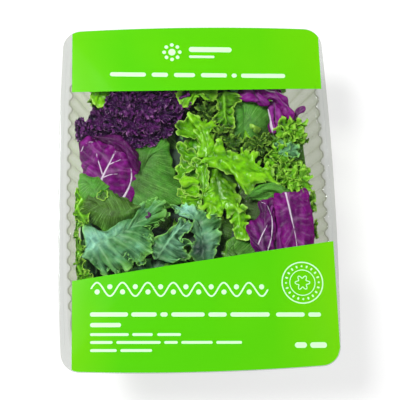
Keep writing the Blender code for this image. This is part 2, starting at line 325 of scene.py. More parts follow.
def leaf(build, margin, spine, seed=0, step=0.9, curl=0.0, curl_at=0.6, bulge=0.0,
         ruffles=(), blister=(0.0, 8.0), teeth=(0.0, 4.0), veins=7, relief=0.25,
         rib=(2.6, 0.9), thick=0.34, tone=0.5, warp=0.0, pressed=True, up=(0, 0, 1),
         spare=0.0, pleats=(), frill=None, gap=0.9, shades=(), tints=(), slim=1.0):
    """Adds one leaf to a Build.

    margin   points round the leaf's edge, from one side of its stalk to the other
    spine    points along the midrib, from the stalk to near the tip
    curl     degrees by which the margin turns up, from curl_at outwards
    pleats   (height, pitch, direction in degrees) of straight folds
    frill    (place round the margin 0-1, amount) of ruffles and teeth
    shades   (x, y, radius, amount) of patches darkened by painted shadow; tints the same, of tone
    slim     how many lines run round the blade, against its step
    ruffles  (height, wavelength, start, power, swirl) of each order of ruffle
    blister  height and size of the bumps between the veins
    teeth    depth and pitch of the margin's small teeth
    """
    edge = curve(margin, 400)
    length = np.linalg.norm(np.diff(edge, axis=0), axis=1).sum()
    n = int(max(41, length / step)) | 1
    edge = curve(margin, n)
    theta = np.linspace(0, 1, n)
    sp = curve(spine, 200)
    along = 1.0 - np.abs(1.0 - 2.0 * theta)            # 0 at stalk, 1 at tip
    k = along ** 0.85 * 199
    mid = np.stack([np.interp(k, np.arange(200), sp[:, c]) for c in range(3)], 1)
    reach = np.linalg.norm(edge - mid, axis=1)
    m = int(np.clip(np.percentile(reach, 75) / step * 1.15 * slim, 7, 90))
    r = np.linspace(0, 1, m + 1)
    s = theta * length

    # teeth and small lobes of the margin
    out = (edge - mid) / np.maximum(reach, 1e-6)[:, None]
    jag = teeth[0] * (0.6 * noise1(s / teeth[1], seed + 5)
                      + 0.5 * noise1(s / teeth[1] * 2.7, seed + 6)
                      + 0.9 * np.abs(noise1(s / teeth[1] * 0.45, seed + 7)) - 0.3)
    calm = smooth(along, 0.0, 0.12)
    amount = np.ones(n) if frill is None else np.interp(theta, *zip(*frill))
    reach2 = reach + jag * calm * amount

    # lines from the midrib to the margin, with the margin curled up
    ang = math.radians(curl) * smooth(r, curl_at, 1.0)[None, :] * (0.75 + 0.35 * noise1(s / 30.0, seed + 9))[:, None] * calm[:, None]
    up = np.asarray(up, float) / np.linalg.norm(up)
    nrm = up[None, :] - (out @ up)[:, None] * out
    nrm /= np.maximum(np.linalg.norm(nrm, axis=1), 1e-6)[:, None]
    dr = np.diff(r)
    ca, sa = np.cos(ang), np.sin(ang)
    hc = np.concatenate([np.zeros((n, 1)), np.cumsum(0.5 * (ca[:, 1:] + ca[:, :-1]) * dr, 1)], 1)
    hs = np.concatenate([np.zeros((n, 1)), np.cumsum(0.5 * (sa[:, 1:] + sa[:, :-1]) * dr, 1)], 1)
    scale = reach2 / np.maximum(hc[:, -1], 0.35)
    p = (mid[:, None, :] + out[:, None, :] * (hc * scale[:, None])[..., None]
         + nrm[:, None, :] * (hs * scale[:, None])[..., None])
    p = p + up * (bulge * (4 * r * (1 - r))[None, :] * smooth(along, 0, 0.3)[:, None])[..., None]

    rr = np.broadcast_to(r[None, :], (n, m + 1))
    ss = np.broadcast_to(s[:, None], (n, m + 1))
    flat = np.stack([ss, rr * reach[:, None], np.full_like(rr, seed * 3.7)], -1)
    # slow warp of the whole blade
    if warp:
        q = p / 24.0
        p = p + warp * np.stack([noise(q, seed + 31), noise(q, seed + 32), noise(q, seed + 33)], -1) * smooth(rr, 0, 0.6)[..., None]

    def unify(pp):
        c = 0.5 * (pp[:, 0] + pp[::-1, 0])
        pp[:, 0] = c
        return pp

    p = unify(p)
    nn = grid_normals(p)
    sign = -1.0 if (nn @ up).mean() < 0 else 1.0
    nn = nn * sign
    tt = np.gradient(p, axis=0)
    tt /= np.maximum(np.linalg.norm(tt, axis=-1, keepdims=True), 1e-9)
    disp = np.zeros_like(p)
    rad = np.broadcast_to(out[:, None, :], p.shape)
    for i, (amp, wave, start, power, swirl, lobe) in enumerate(ruffles):
        ph = (ss / wave + 0.55 * noise(np.stack([ss / wave / 1.7, rr * 0.8, rr * 0 + i], -1), seed + 40 + i)
              + 0.18 * noise(np.stack([ss / wave * 1.3, rr * 2.0, rr * 0 + i], -1), seed + 60 + i))
        size = 0.75 + 0.5 * noise(np.stack([ss / wave / 2.3, rr * 0 + 0.3, rr * 0 + i], -1), seed + 50 + i)
        g = np.clip((rr - start) / (1 - start), 0, 1) ** power * calm[:, None]
        if i or frill is None:
            g = g * amount[:, None]
        a = amp * size * g
        w = 2 * math.pi * ph
        disp += nn * (a * np.cos(w))[..., None]
        if swirl:
            disp += tt * (a * swirl * np.sin(2 * w))[..., None]
        if lobe:
            disp += rad * (a * lobe * np.cos(w + 0.5))[..., None]
    if blister[0]:
        q = p / blister[1]
        bl = np.abs(noise(q, seed + 70)) * 1.5 - 0.4 + 0.5 * noise(q * 2.1, seed + 71)
        win = smooth(rr, 0.05, 0.3) * (1 - 0.35 * smooth(rr, 0.8, 1.0))
        disp += nn * (blister[0] * bl * win)[..., None]
    for i, (amp, pitch_of, heading) in enumerate(pleats):
        c, q = math.cos(math.radians(heading)), math.sin(math.radians(heading))
        at = (p[..., 0] * c + p[..., 1] * q) / pitch_of
        at = at + 0.3 * noise(p / (2.5 * pitch_of), seed + 90 + i)
        fold = 1.0 - 2.0 * np.abs(at - np.floor(at) - 0.5) * 2.0
        fold = np.sign(fold) * np.abs(fold) ** 0.8
        disp += nn * (amp * fold * (0.4 + 0.6 * smooth(rr, 0.0, 0.3)))[..., None]
    # veins: side veins leave the midrib, fork, and thin out towards the margin
    dist = rr * reach[:, None]
    pitch = length / (2 * max(veins, 1))
    wob = 0.16 * noise(np.stack([ss / pitch * 0.8, rr * 1.6, rr * 0], -1), seed + 80)
    ph = ss / pitch + wob + 0.25
    d1 = np.abs(ph - np.round(ph)) * pitch * np.maximum(rr, 0.25)
    v1 = np.exp(-(d1 / (0.55 * (1.15 - rr))) ** 2) * (1 - smooth(rr, 0.75, 1.0))
    ph3 = ss / pitch * 3 + 2.2 * wob + 0.4
    d3 = np.abs(ph3 - np.round(ph3)) * pitch / 3 * np.maximum(rr, 0.25)
    v3 = 0.6 * np.exp(-(d3 / 0.38) ** 2) * smooth(rr, 0.25, 0.5) * (1 - smooth(rr, 0.85, 1.0))
    wr = rib[0] * (1 - along) + rib[1] * along
    vm = np.exp(-(dist / np.maximum(wr[:, None] * 0.6, 0.2)) ** 2)
    vein = np.clip(np.maximum(np.maximum(v1, v3), vm), 0, 1)
    disp += nn * (relief * (v1 + 0.6 * v3) + 0.25 * wr[:, None] * vm)[..., None]

    p = unify(p + disp)
    if pressed:
        p = press(p, gap)
    p = unify(p)
    nn = grid_normals(p) * sign
    nn[:, 0] = nn[:, 0] + nn[::-1, 0]
    nn[:, 0] /= np.maximum(np.linalg.norm(nn[:, 0], axis=-1, keepdims=True), 1e-9)
    th = thick * (1.0 - 0.45 * rr) + 0.5 * wr[:, None] * vm + 0.15 * v1
    # how far each point stands above its surroundings, 0.5 on an even blade
    ds = max(length / n, 0.3)
    dm = max(float(np.median(reach)) / m, 0.3)
    over = ((p - spread(p, (3.2 / ds, 3.2 / dm))) * nn).sum(-1)
    swell = np.clip(0.5 + over / 2.6, 0.0, 1.0)
    rim_at = np.clip(1.0 - np.maximum(reach, 3.0)[:, None] * (1.0 - rr) / 1.5, 0.0, 1.0)
    back = p - nn * th[..., None]
    # leaves that lie on the base are flattened against it
    p[..., 2] = np.maximum(p[..., 2], 0.75)
    back[..., 2] = np.maximum(back[..., 2], 0.7)

    # indices; the two halves share the midrib
    idx = np.arange(n * (m + 1)).reshape(n, m + 1)
    half = (n - 1) // 2
    for i in range(half + 1, n):
        idx[i, 0] = idx[n - 1 - i, 0]
    used = np.zeros(n * (m + 1), bool)
    used[idx.ravel()] = True
    remap = np.cumsum(used) - 1
    idx = remap[idx]
    nf = int(used.sum())
    front_v = p.reshape(-1, 3)[used]
    back_v = back.reshape(-1, 3)[used]
    a, b, c, d = idx[:-1, :-1], idx[1:, :-1], idx[1:, 1:], idx[:-1, 1:]
    fq = np.stack([a, b, c, d], -1).reshape(-1, 4)
    bq = np.stack([a, d, c, b], -1).reshape(-1, 4) + nf
    e0, e1 = idx[:-1, -1], idx[1:, -1]
    rim = np.stack([e0, e1, e1 + nf, e0 + nf], -1)
    s0a, s0b = idx[0, :-1], idx[0, 1:]
    rim0 = np.stack([s0a, s0b, s0b + nf, s0a + nf], -1)
    s1a, s1b = idx[-1, :-1], idx[-1, 1:]
    rim1 = np.stack([s1b, s1a, s1a + nf, s1b + nf], -1)
    quads = np.concatenate([fq, bq, rim, rim0, rim1])
    # faces point away from the blade's middle: flip all if the front faces back
    v0 = front_v[fq[:, 0]]
    fn = np.cross(front_v[fq[:, 1]] - v0, front_v[fq[:, 3]] - v0)
    flip = bool((fn * (front_v - back_v)[fq[:, 0]]).sum() < 0)
    if flip:
        quads = quads[:, ::-1]
    # uv islands, in millimetres: front with its rims round it, and back
    U, V = s, r * float(np.mean(reach))
    ug = np.broadcast_to(U[:, None], (n, m + 1))
    vg = np.broadcast_to(V[None, :], (n, m + 1))

    def cell(g):
        return np.stack([g[:-1, :-1], g[1:, :-1], g[1:, 1:], g[:-1, 1:]], -1).reshape(-1, 4)

    def cell_b(g):
        return np.stack([g[:-1, :-1], g[:-1, 1:], g[1:, 1:], g[1:, :-1]], -1).reshape(-1, 4)

    lip = 0.6
    fuv = np.stack([cell(ug), cell(vg)], -1)
    buv = np.stack([cell_b(ug), cell_b(vg)], -1)
    vt, ue = V[-1], U[-1]

    def corners(u4, v4, count):
        return np.stack([np.stack([np.broadcast_to(q, (count,)) for q in u4], -1),
                         np.stack([np.broadcast_to(q, (count,)) for q in v4], -1)], -1)

    ruv = corners((U[:-1], U[1:], U[1:], U[:-1]), (vt, vt, vt + lip, vt + lip), n - 1)
    r0 = corners((0.0, 0.0, -lip, -lip), (V[:-1], V[1:], V[1:], V[:-1]), m)
    r1 = corners((ue, ue, ue + lip, ue + lip), (V[1:], V[:-1], V[:-1], V[1:]), m)
    build.islands.append(dict(size=(ue + 2 * lip, vt + lip), fuv=fuv, buv=buv,
                              rims=np.concatenate([ruv, r0, r1]), lip=lip,
                              flip=flip, bsize=(ue, vt)))
    nv = nf * 2
    # painted shade: a leaf deep in the heap is darkened as a whole by its given amount
    painted_shade_at = np.full(p.shape[:2], float(spare))
    # painted shadow: round patches where shade falls on the leaf are darkened the same way
    for sx, sy, sr, sa in shades:
        painted_shade_at = np.maximum(painted_shade_at, sa * np.exp(-((p[..., 0] - sx) ** 2 + (p[..., 1] - sy) ** 2) / sr ** 2))
    painted_shade_at = np.tile(painted_shade_at.reshape(-1)[used], 2)
    hue = np.full(p.shape[:2], float(tone))
    for sx, sy, sr, sa in tints:
        hue += sa * np.exp(-((p[..., 0] - sx) ** 2 + (p[..., 1] - sy) ** 2) / sr ** 2)
    hue = np.tile(hue.reshape(-1)[used], 2)
    e = rr.reshape(-1)[used]
    ve = vein.reshape(-1)[used]
    fl = flat.reshape(-1, 3)[used]
    build.add(np.concatenate([front_v, back_v]), quads,
              edge=np.concatenate([e, e]), vein=np.concatenate([ve, ve]),
              side=np.concatenate([np.zeros(nf), np.ones(nf)]),
              tone=hue, spare=painted_shade_at,
              swell=np.concatenate([swell.reshape(-1)[used], 1.0 - swell.reshape(-1)[used]]),
              rim=np.concatenate([rim_at.reshape(-1)[used]] * 2),
              flat=np.concatenate([fl, fl]))
    return p, nn


def finish_leaves(build, name, material):
    """Lays out the leaves' islands and makes the object."""
    sizes = []
    for i in build.islands:
        sizes.append(i["size"])
        if "whole" not in i:
            sizes.append(i["bsize"])
    where, side = shelf_pack(sizes)
    k = 0
    for i in build.islands:
        fx, fy = where[k]
        if "whole" in i:
            build.uv.append((i["whole"] + np.array([fx, fy])) / side)
            k += 1
            continue
        bx, by = where[k + 1]
        k += 2
        f = i["fuv"] + np.array([fx + i["lip"], fy])
        rr = i["rims"] + np.array([fx + i["lip"], fy])
        b = i["buv"] + np.array([bx, by])
        uv = np.concatenate([f, b, rr])
        if i["flip"]:
            uv = uv[:, ::-1]
        build.uv.append(uv / side)
    return build.make(name, material)


# ----------------------------------------------------------------------------
# Node materials
# ----------------------------------------------------------------------------
class Nodes:
    """Short hand for building a material's node tree."""

    def __init__(self, name):
        self.mat = bpy.data.materials.new(name)
        self.mat.use_nodes = True
        self.t = self.mat.node_tree
        self.t.nodes.clear()
        self.out = self.t.nodes.new("ShaderNodeOutputMaterial")

    def node(self, kind, inputs=None, **props):
        n = self.t.nodes.new(kind)
        for k, v in props.items():
            setattr(n, k, v)
        for k, v in (inputs or {}).items():
            if isinstance(v, bpy.types.NodeSocket):
                self.t.links.new(v, n.inputs[k])
            elif isinstance(v, (tuple, list)) and len(v) == 3 and n.inputs[k].type == "RGBA":
                n.inputs[k].default_value = (*v, 1.0)
            else:
                n.inputs[k].default_value = v
        return n

    def attr(self, name, out="Fac"):
        return self.node("ShaderNodeAttribute", attribute_name=name).outputs[out]

    def math(self, op, a, b=0.0, clamp=False):
        n = self.node("ShaderNodeMath", {0: a, 1: b}, operation=op)
        n.use_clamp = clamp
        return n.outputs[0]

    def mix(self, fac, a, b, blend="MIX"):
        n = self.t.nodes.new("ShaderNodeMix")
        n.data_type = "RGBA"
        n.blend_type = blend
        n.clamp_factor = True
        for i, v in ((0, fac), (6, a), (7, b)):
            if isinstance(v, bpy.types.NodeSocket):
                self.t.links.new(v, n.inputs[i])
            elif isinstance(v, (tuple, list)):
                n.inputs[i].default_value = (*v, 1.0)
            else:
                n.inputs[i].default_value = v
        return n.outputs[2]

    def ramp(self, fac, stops, interp="LINEAR"):
        n = self.t.nodes.new("ShaderNodeValToRGB")
        self.t.links.new(fac, n.inputs[0])
        cr = n.color_ramp
        cr.interpolation = interp
        while len(cr.elements) < len(stops):
            cr.elements.new(0.5)
        for e, (pos, col) in zip(cr.elements, stops):
            e.position = pos
            e.color = (*col, 1.0) if len(col) == 3 else col
        return n.outputs[0]

    def noise(self, vec, scale, detail=3.0, rough=0.5, distort=0.0):
        n = self.node("ShaderNodeTexNoise", {"Scale": scale, "Detail": detail,
                                             "Roughness": rough, "Distortion": distort})
        self.t.links.new(vec, n.inputs["Vector"])
        return n.outputs["Fac"]

    def surface(self, shader):
        self.t.links.new(shader, self.out.inputs["Surface"])
        return self.mat


def rgb(r, g, b):
    """sRGB 0-255 to linear."""
    def f(c):
        c = c / 255.0
        return c / 12.92 if c <= 0.04045 else ((c + 0.055) / 1.055) ** 2.4
    return (f(r), f(g), f(b))


def pair(m, t, colour):
    """One colour, or two with the leaf's tone between them."""
    return m.mix(t, colour[0], colour[1]) if isinstance(colour[0], tuple) else colour


def leaf_material(name, low, high, edge, vein, deep, veins=0.55, gloss=0.34, net=5.5,
                  bump=0.25, clear=0.2, tip=0.7, web=0.38, lines=0.25, line_col=None, spec=0.5, hollow_shade=0.7, crest=0.3, hem=0.5,
                  crest_highlight=None, scatter=0.0, vary=1.5, under=(0.018, 0.036, 0.036)):
    """Leaf tissue: colour by tone and noise, paler veins and fine lines that run
    out to the margin, a pale margin that is a painted edge highlight, painted
    shade in the hollows of the folds and a painted highlight on their crests,
    painted shade on leaves deep in the heap, a net of small veins in relief,
    and some light through the blade."""
    m = Nodes(name)
    flat = m.attr("flat", "Vector")
    edge_at, vein_at, tone = m.attr("edge"), m.attr("vein"), m.attr("tone")
    # a place in millimetres that differs from leaf to leaf
    leaf_no = m.node("ShaderNodeSeparateXYZ", {0: flat}).outputs[2]
    spot = m.node("ShaderNodeVectorMath", {0: m.node("ShaderNodeTexCoord").outputs["Object"],
                                           1: (1000.0, 1000.0, 1000.0), 2: m.node(
        "ShaderNodeCombineXYZ", {0: leaf_no, 1: leaf_no, 2: leaf_no}).outputs[0]},
        operation="MULTIPLY_ADD").outputs[0]
    broad = m.noise(spot, 0.06, 3.0, 0.55)
    mid = m.noise(spot, 0.24, 3.0, 0.6)
    fine = m.noise(flat, 1.1, 3.0, 0.6)
    t = m.math("ADD", tone, m.math("MULTIPLY", m.math("SUBTRACT", broad, 0.5), vary), clamp=True)
    col = m.mix(t, low, high)
    shade = m.math("MULTIPLY", m.math("SUBTRACT", mid, 0.36), 2.4, clamp=True)
    col = m.mix(m.math("MULTIPLY", m.math("SUBTRACT", 1.0, shade), 0.6), col, deep)
    # lines from the midrib to the margin
    along = m.node("ShaderNodeMapping", {"Vector": flat, "Scale": (1.5, 0.11, 1.0)}).outputs[0]
    line = m.noise(along, 1.0, 3.0, 0.65)
    line = m.math("MULTIPLY", m.math("SUBTRACT", line, 0.48), 5.0, clamp=True)
    # net of fine veins
    warp = m.node("ShaderNodeVectorMath", {0: spot, 1: m.node(
        "ShaderNodeTexNoise", {"Vector": spot, "Scale": 0.35, "Detail": 2.0}).outputs["Color"]},
        operation="ADD").outputs[0]
    warp = m.node("ShaderNodeVectorMath", {0: warp, 1: m.node(
        "ShaderNodeTexNoise", {"Vector": spot, "Scale": 0.9, "Detail": 2.0}).outputs["Color"]},
        operation="ADD").outputs[0]
    vor = m.node("ShaderNodeTexVoronoi", {"Vector": warp, "Scale": 1.0 / net},
                 feature="DISTANCE_TO_EDGE").outputs["Distance"]
    net1 = m.math("SUBTRACT", 1.0, m.math("MULTIPLY", vor, 9.0, clamp=True))
    vor2 = m.node("ShaderNodeTexVoronoi", {"Vector": warp, "Scale": 2.6 / net},
                  feature="DISTANCE_TO_EDGE").outputs["Distance"]
    net2 = m.math("SUBTRACT", 1.0, m.math("MULTIPLY", vor2, 7.0, clamp=True))
    w = m.math("MULTIPLY", line, lines)
    w = m.math("MAXIMUM", w, m.math("MULTIPLY", net1, web))
    w = m.math("MAXIMUM", w, m.math("MULTIPLY", net2, web * 0.5))
    col = m.mix(w, col, pair(m, t, line_col or vein))
    col = m.mix(m.math("MULTIPLY", vein_at, veins, clamp=True), col, vein)
    # painted shade in the hollows of the folds and a painted highlight on their crests
    swell = m.attr("swell")
    dark = m.math("MULTIPLY", m.math("SUBTRACT", 0.5, swell), 2.0 * hollow_shade, clamp=True)
    light = m.math("MULTIPLY", m.math("SUBTRACT", swell, 0.5), 2.0 * crest, clamp=True)
    col = m.mix(dark, col, deep)
    col = m.mix(light, col, pair(m, t, crest_highlight or edge))
    # painted shade: leaves deep in the heap are darkened towards a dark shade colour
    heap_shade = m.attr("spare")
    col = m.mix(heap_shade, col, under)
    # margin: a narrow pale rim with a soft start, a painted edge highlight
    e = m.math("MULTIPLY", m.math("SUBTRACT", edge_at, 0.72), 3.6, clamp=True)
    e = m.math("POWER", e, 1.6)
    e = m.math("MULTIPLY", e, m.math("ADD", m.math("MULTIPLY", fine, 0.9), tip - 0.45), clamp=True)
    shown = m.math("SUBTRACT", 1.0, m.math("MULTIPLY", heap_shade, 0.8))
    col = m.mix(m.math("MULTIPLY", e, shown), col, edge)
    rim = m.math("MULTIPLY", m.math("MULTIPLY", m.attr("rim"), hem, clamp=True), shown)
    # speckled along the rim: painted glints
    if scatter:
        speck = m.math("MULTIPLY", m.math("SUBTRACT", fine, scatter), 6.0, clamp=True)
        rim = m.math("MULTIPLY", rim, speck)
    col = m.mix(rim, col, edge)
    height = m.math("ADD", m.math("MULTIPLY", net1, -0.5), m.math("MULTIPLY", net2, -0.25))
    height = m.math("ADD", height, m.math("MULTIPLY", fine, 0.9))
    height = m.math("ADD", height, m.math("MULTIPLY", line, -0.35))
    bumped = m.node("ShaderNodeBump", {"Strength": bump, "Distance": 0.0006, "Height": height}).outputs[0]
    rough = m.math("ADD", m.math("MULTIPLY", fine, 0.3), gloss - 0.15)
    p = m.node("ShaderNodeBsdfPrincipled", {"Base Color": col, "Roughness": rough,
                                            "Normal": bumped, "Specular IOR Level": spec})
    tr = m.node("ShaderNodeBsdfTranslucent", {"Color": col, "Normal": bumped})
    mixed = m.node("ShaderNodeMixShader", {0: clear, 1: p.outputs[0], 2: tr.outputs[0]})
    return m.surface(mixed.outputs[0])


# ----------------------------------------------------------------------------
# Outline rings shared by the tray and the film
# ----------------------------------------------------------------------------
def bowed_corner(a, b, r):
    rx = (b * b + BOW_X * BOW_X) / (2.0 * BOW_X)
    ry = (a * a + BOW_Y * BOW_Y) / (2.0 * BOW_Y)
    cx, cy = a - rx, b - ry
    x, y = a - r, b - r
    for _ in range(40):
        d1, d2 = math.hypot(x - cx, y), math.hypot(x, y - cy)
        f1, f2 = d1 - (rx - r), d2 - (ry - r)
        j11, j12, j21, j22 = (x - cx) / d1, y / d1, x / d2, (y - cy) / d2
        det = j11 * j22 - j12 * j21
        x -= (f1 * j22 - f2 * j12) / det
        y -= (j11 * f2 - j21 * f1) / det
    return rx, ry, cx, cy, x, y, math.atan2(y, x - cx), math.atan2(y - cy, x)


def flute(t):
    """Section of one flute along its pitch: a rounded crest and a flatter land."""
    c = math.cos(2 * math.pi * (t - 0.5))
    k = 0.5 + 0.5 * math.tanh(1.9 * c + 0.25) / math.tanh(2.0)
    return (k - 0.45) * 1.02


PER_FLUTE = 9
CORNER_N = 15
PLAIN_N = 5


def side_marks(count, span, reach):
    """Positions along a side and the flute's share there."""
    pitch = 2.0 * span / count
    marks = [(-span + (i / PER_FLUTE) * pitch, flute((i / PER_FLUTE) % 1.0))
             for i in range(count * PER_FLUTE + 1)]
    return marks


def tray_ring(inset, r, depth=0.0):
    a, b = HALF_W - inset, HALF_L - inset
    rx, ry, cx, cy, qx, qy, t1, t2 = bowed_corner(a, b, r)
    quarter = []
    long_m = [m for m in side_marks(FLUTES_LONG, SPAN_LONG, b)]
    short_m = [m for m in side_marks(FLUTES_SHORT, SPAN_SHORT, a)]
    pts = []

    def side_x(sx, marks):
        for y, k in marks:
            t = math.asin(y / rx)
            fade = 1.0
            rad = rx + depth * k * fade
            pts.append((sx * (cx + rad * math.cos(t)), rad * math.sin(t)))

    def side_y(sy, marks):
        for x, k in marks:
            t = math.asin(x / ry)
            rad = ry + depth * k
            pts.append((rad * math.sin(t), sy * (cy + rad * math.cos(t))))

    def corner(sx, sy, flip):
        # from the last flute to the corner's arc, round it, and on to the next
        y_end, x_end = SPAN_LONG, SPAN_SHORT
        out = []
        ta = math.asin(y_end / rx)
        for k in range(1, PLAIN_N):
            t = ta + (t1 - ta) * k / PLAIN_N
            rad = rx + depth * flute(0.0) * (1 - k / PLAIN_N) ** 2
            out.append((cx + rad * math.cos(t), rad * math.sin(t)))
        for k in range(CORNER_N + 1):
            t = t1 + (t2 - t1) * k / CORNER_N
            out.append((qx + r * math.cos(t), qy + r * math.sin(t)))
        tb = math.pi / 2 - math.asin(x_end / ry)
        for k in range(1, PLAIN_N):
            t = t2 + (tb - t2) * k / PLAIN_N
            rad = ry + depth * flute(0.0) * (k / PLAIN_N) ** 2
            out.append((rad * math.cos(t), cy + rad * math.sin(t)))
        out = [(sx * x, sy * y) for x, y in out]
        pts.extend(reversed(out) if flip else out)

    side_x(1, long_m)
    corner(1, 1, False)
    side_y(1, list(reversed(short_m)))
    corner(-1, 1, True)
    side_x(-1, list(reversed(long_m)))
    corner(-1, -1, False)
    side_y(-1, short_m)
    corner(1, -1, True)
    return np.array(pts)


def tray_levels():
    """(inset, corner radius, flute depth, height) down the inside of the sheet."""
    slope = (FOOT_IN - MOUTH_IN) / (TRAY_H - LIP_R - BASE_R)
    out = []
    # flange, from its rim inwards, with a shallow sealing bead
    for d, z in ((0.0, -0.25), (0.12, -0.07), (0.35, 0.0), (1.8, 0.0), (2.8, 0.0), (2.84, -0.01),
                 (3.0, -0.07), (3.04, -0.075), (3.8, -0.03), (4.6, 0.0)):
        f = smooth(d, 2.0, 6.5)
        out.append((d, FLANGE_R + (MOUTH_R - FLANGE_R) * float(f), 0.0, TRAY_H + z))
    # lip radius
    for k in range(0, 6):
        t = k / 5.0 * math.radians(79)
        out.append((MOUTH_IN - 0.9 + LIP_R * math.sin(t) + 0.25, MOUTH_R, FLUTE_TOP,
                    TRAY_H - LIP_R * (1 - math.cos(t))))
    # wall
    for k in range(1, 10):
        z = TRAY_H - LIP_R - (TRAY_H - LIP_R - BASE_R) * k / 9.0
        u = (z - BASE_R) / (TRAY_H - LIP_R - BASE_R)
        depth = FLUTE_FOOT + (FLUTE_TOP - FLUTE_FOOT) * u
        out.append((FOOT_IN - (z - BASE_R) * slope + 0.35, FOOT_R + (MOUTH_R - FOOT_R) * u, depth, z))
    # base radius
    for k in range(1, 7):
        t = k / 6.0 * math.radians(79)
        fade = 1.0 - k / 6.0
        out.append((FOOT_IN + 0.35 + BASE_R * (1 - math.cos(t)) * 1.1, FOOT_R - 3.2 * k / 6.0,
                    FLUTE_FOOT * fade, BASE_R * (1 - math.sin(t)) + WALL * 0.9))
    # base: a shallow step and a flat middle
    for d, z in ((2.2, WALL), (7.0, WALL), (8.0, WALL + 0.5), (9.0, WALL + 0.9),
                 (20.0, WALL + 0.9), (34.0, WALL + 0.9), (50.0, WALL + 0.9)):
        out.append((FOOT_IN + BASE_R + d, max(FOOT_R - 4.0 - d * 0.3, 3.0), 0.0, z))
    return out


def make_tray(material):
    levels = tray_levels()
    inner = [np.column_stack([tray_ring(i, r, d), np.full(1, z).repeat(len(tray_ring(i, r, d)))])
             for i, r, d, z in levels]
    p = np.stack(inner, 1)                     # (n, rings, 3)
    nn = grid_normals(p, wrap=True)
    if nn[:, :4, 2].mean() < 0:
        nn = -nn
    outer = p - nn * WALL * 0.8
    outer[..., 2] = np.maximum(outer[..., 2], 0.0)
    n, m = p.shape[:2]
    b = Build()
    idx = np.arange(n * m).reshape(n, m)
    j = np.roll(idx, -1, 0)
    top = np.stack([idx[:, :-1], idx[:, 1:], j[:, 1:], j[:, :-1]], -1).reshape(-1, 4)
    bot = np.stack([idx[:, :-1], j[:, :-1], j[:, 1:], idx[:, 1:]], -1).reshape(-1, 4) + n * m
    rim = np.stack([idx[:, 0], j[:, 0], j[:, 0] + n * m, idx[:, 0] + n * m], -1)
    # middle of the base: strips across between mirrored points
    verts = np.concatenate([p.reshape(-1, 3), outer.reshape(-1, 3)])
    last = idx[:, -1]
    cap = []
    half = n // 2
    for k in range(half - 1):
        cap.append((last[k], last[k + 1], last[n - 2 - k], last[n - 1 - k]))
    cap = np.array(cap)
    quads = np.concatenate([top, bot, rim, cap, cap[:, ::-1] + n * m])
    v0 = verts[top[:, 0]]
    fn = np.cross(verts[top[:, 1]] - v0, verts[top[:, 3]] - v0)
    if (fn * nn.reshape(-1, 3)[top[:, 0]]).sum() < 0:
        quads = quads[:, ::-1]
    # how far the sheet is turning, ring by ring: strongest on the lip
    turn = np.zeros(m)
    turn[10:16] = (0.25, 0.6, 1.0, 1.0, 0.7, 0.3)
    turn[-14:-7] = (0.1, 0.3, 0.45, 0.5, 0.45, 0.3, 0.1)
    seal = np.zeros(m)
    seal[:12] = (1, 1, 1, 1, 1, 1, 1, 1, 1, 1, 0.8, 0.4)
    b.add(verts, quads, turn=np.tile(turn, n * 2), seal=np.tile(seal, n * 2))
    return b.make("clear_tray", material, sharp=50)


def slab(build, top, thick, wrap=False, **attrs):
    """Closed thin sheet under a grid of points (n, m, 3)."""
    n, m = top.shape[:2]
    low = top.copy()
    low[..., 2] -= thick
    idx = np.arange(n * m).reshape(n, m)
    if wrap:
        nxt = np.roll(idx, -1, 0)
        a, d = idx, nxt
    else:
        a, d = idx[:-1], idx[1:]
    up = np.stack([a[:, :-1], d[:, :-1], d[:, 1:], a[:, 1:]], -1).reshape(-1, 4)
    dn = up[:, ::-1] + n * m
    e = [np.stack([a[:, 0], a[:, 0] + n * m, d[:, 0] + n * m, d[:, 0]], -1),
         np.stack([d[:, -1], d[:, -1] + n * m, a[:, -1] + n * m, a[:, -1]], -1)]
    if not wrap:
        e.append(np.stack([idx[0, 1:], idx[0, 1:] + n * m, idx[0, :-1] + n * m, idx[0, :-1]], -1))
        e.append(np.stack([idx[-1, :-1], idx[-1, :-1] + n * m, idx[-1, 1:] + n * m, idx[-1, 1:]], -1))
    quads = np.concatenate([up, dn] + e)
    v = top.reshape(-1, 3)
    f = up[len(up) // 2]
    nz = np.cross(v[f[1]] - v[f[0]], v[f[3]] - v[f[0]])[2]
    if nz < 0:
        quads = quads[:, ::-1]
    extra = {k: np.concatenate([np.asarray(x, float).ravel()] * 2) for k, x in attrs.items()}
    build.add(np.concatenate([v, low.reshape(-1, 3)]), quads, **extra)


FILM_T = 0.12


def film_top(x, y):
    return film_under(x, y) + FILM_T


def outline_x(y, inset=0.0):
    """Half width of the flange's outline at y."""
    a, b, r = HALF_W - inset, HALF_L - inset, max(FLANGE_R - inset, 1.0)
    rx, ry, cx, cy, qx, qy, t1, t2 = bowed_corner(a, b, r)
    y = np.abs(np.asarray(y, float))
    side = cx + np.sqrt(np.maximum(rx * rx - y * y, 0))
    turn = qx + np.sqrt(np.maximum(r * r - (y - qy) ** 2, 0))
    top = np.sqrt(np.maximum(ry * ry - (y - cy) ** 2, 0))
    y1 = rx * math.sin(t1)
    y2 = qy + r * math.sin(t2)
    return np.where(y < y1, side, np.where(y < y2, turn, np.minimum(top, qx + r * math.cos(t2))))


def outline_y(x, inset=0.0):
    """Half length of the flange's outline at x."""
    a, b, r = HALF_W - inset, HALF_L - inset, max(FLANGE_R - inset, 1.0)
    rx, ry, cx, cy, qx, qy, t1, t2 = bowed_corner(a, b, r)
    x = np.abs(np.asarray(x, float))
    side = cy + np.sqrt(np.maximum(ry * ry - x * x, 0))
    turn = qy + np.sqrt(np.maximum(r * r - (x - qx) ** 2, 0))
    end = np.sqrt(np.maximum(rx * rx - (x - cx) ** 2, 0))
    x2 = ry * math.cos(t2)
    x1 = qx + r * math.cos(t1)
    return np.where(x < x2, side, np.where(x < x1, turn, np.minimum(end, qy + r * math.sin(t1))))


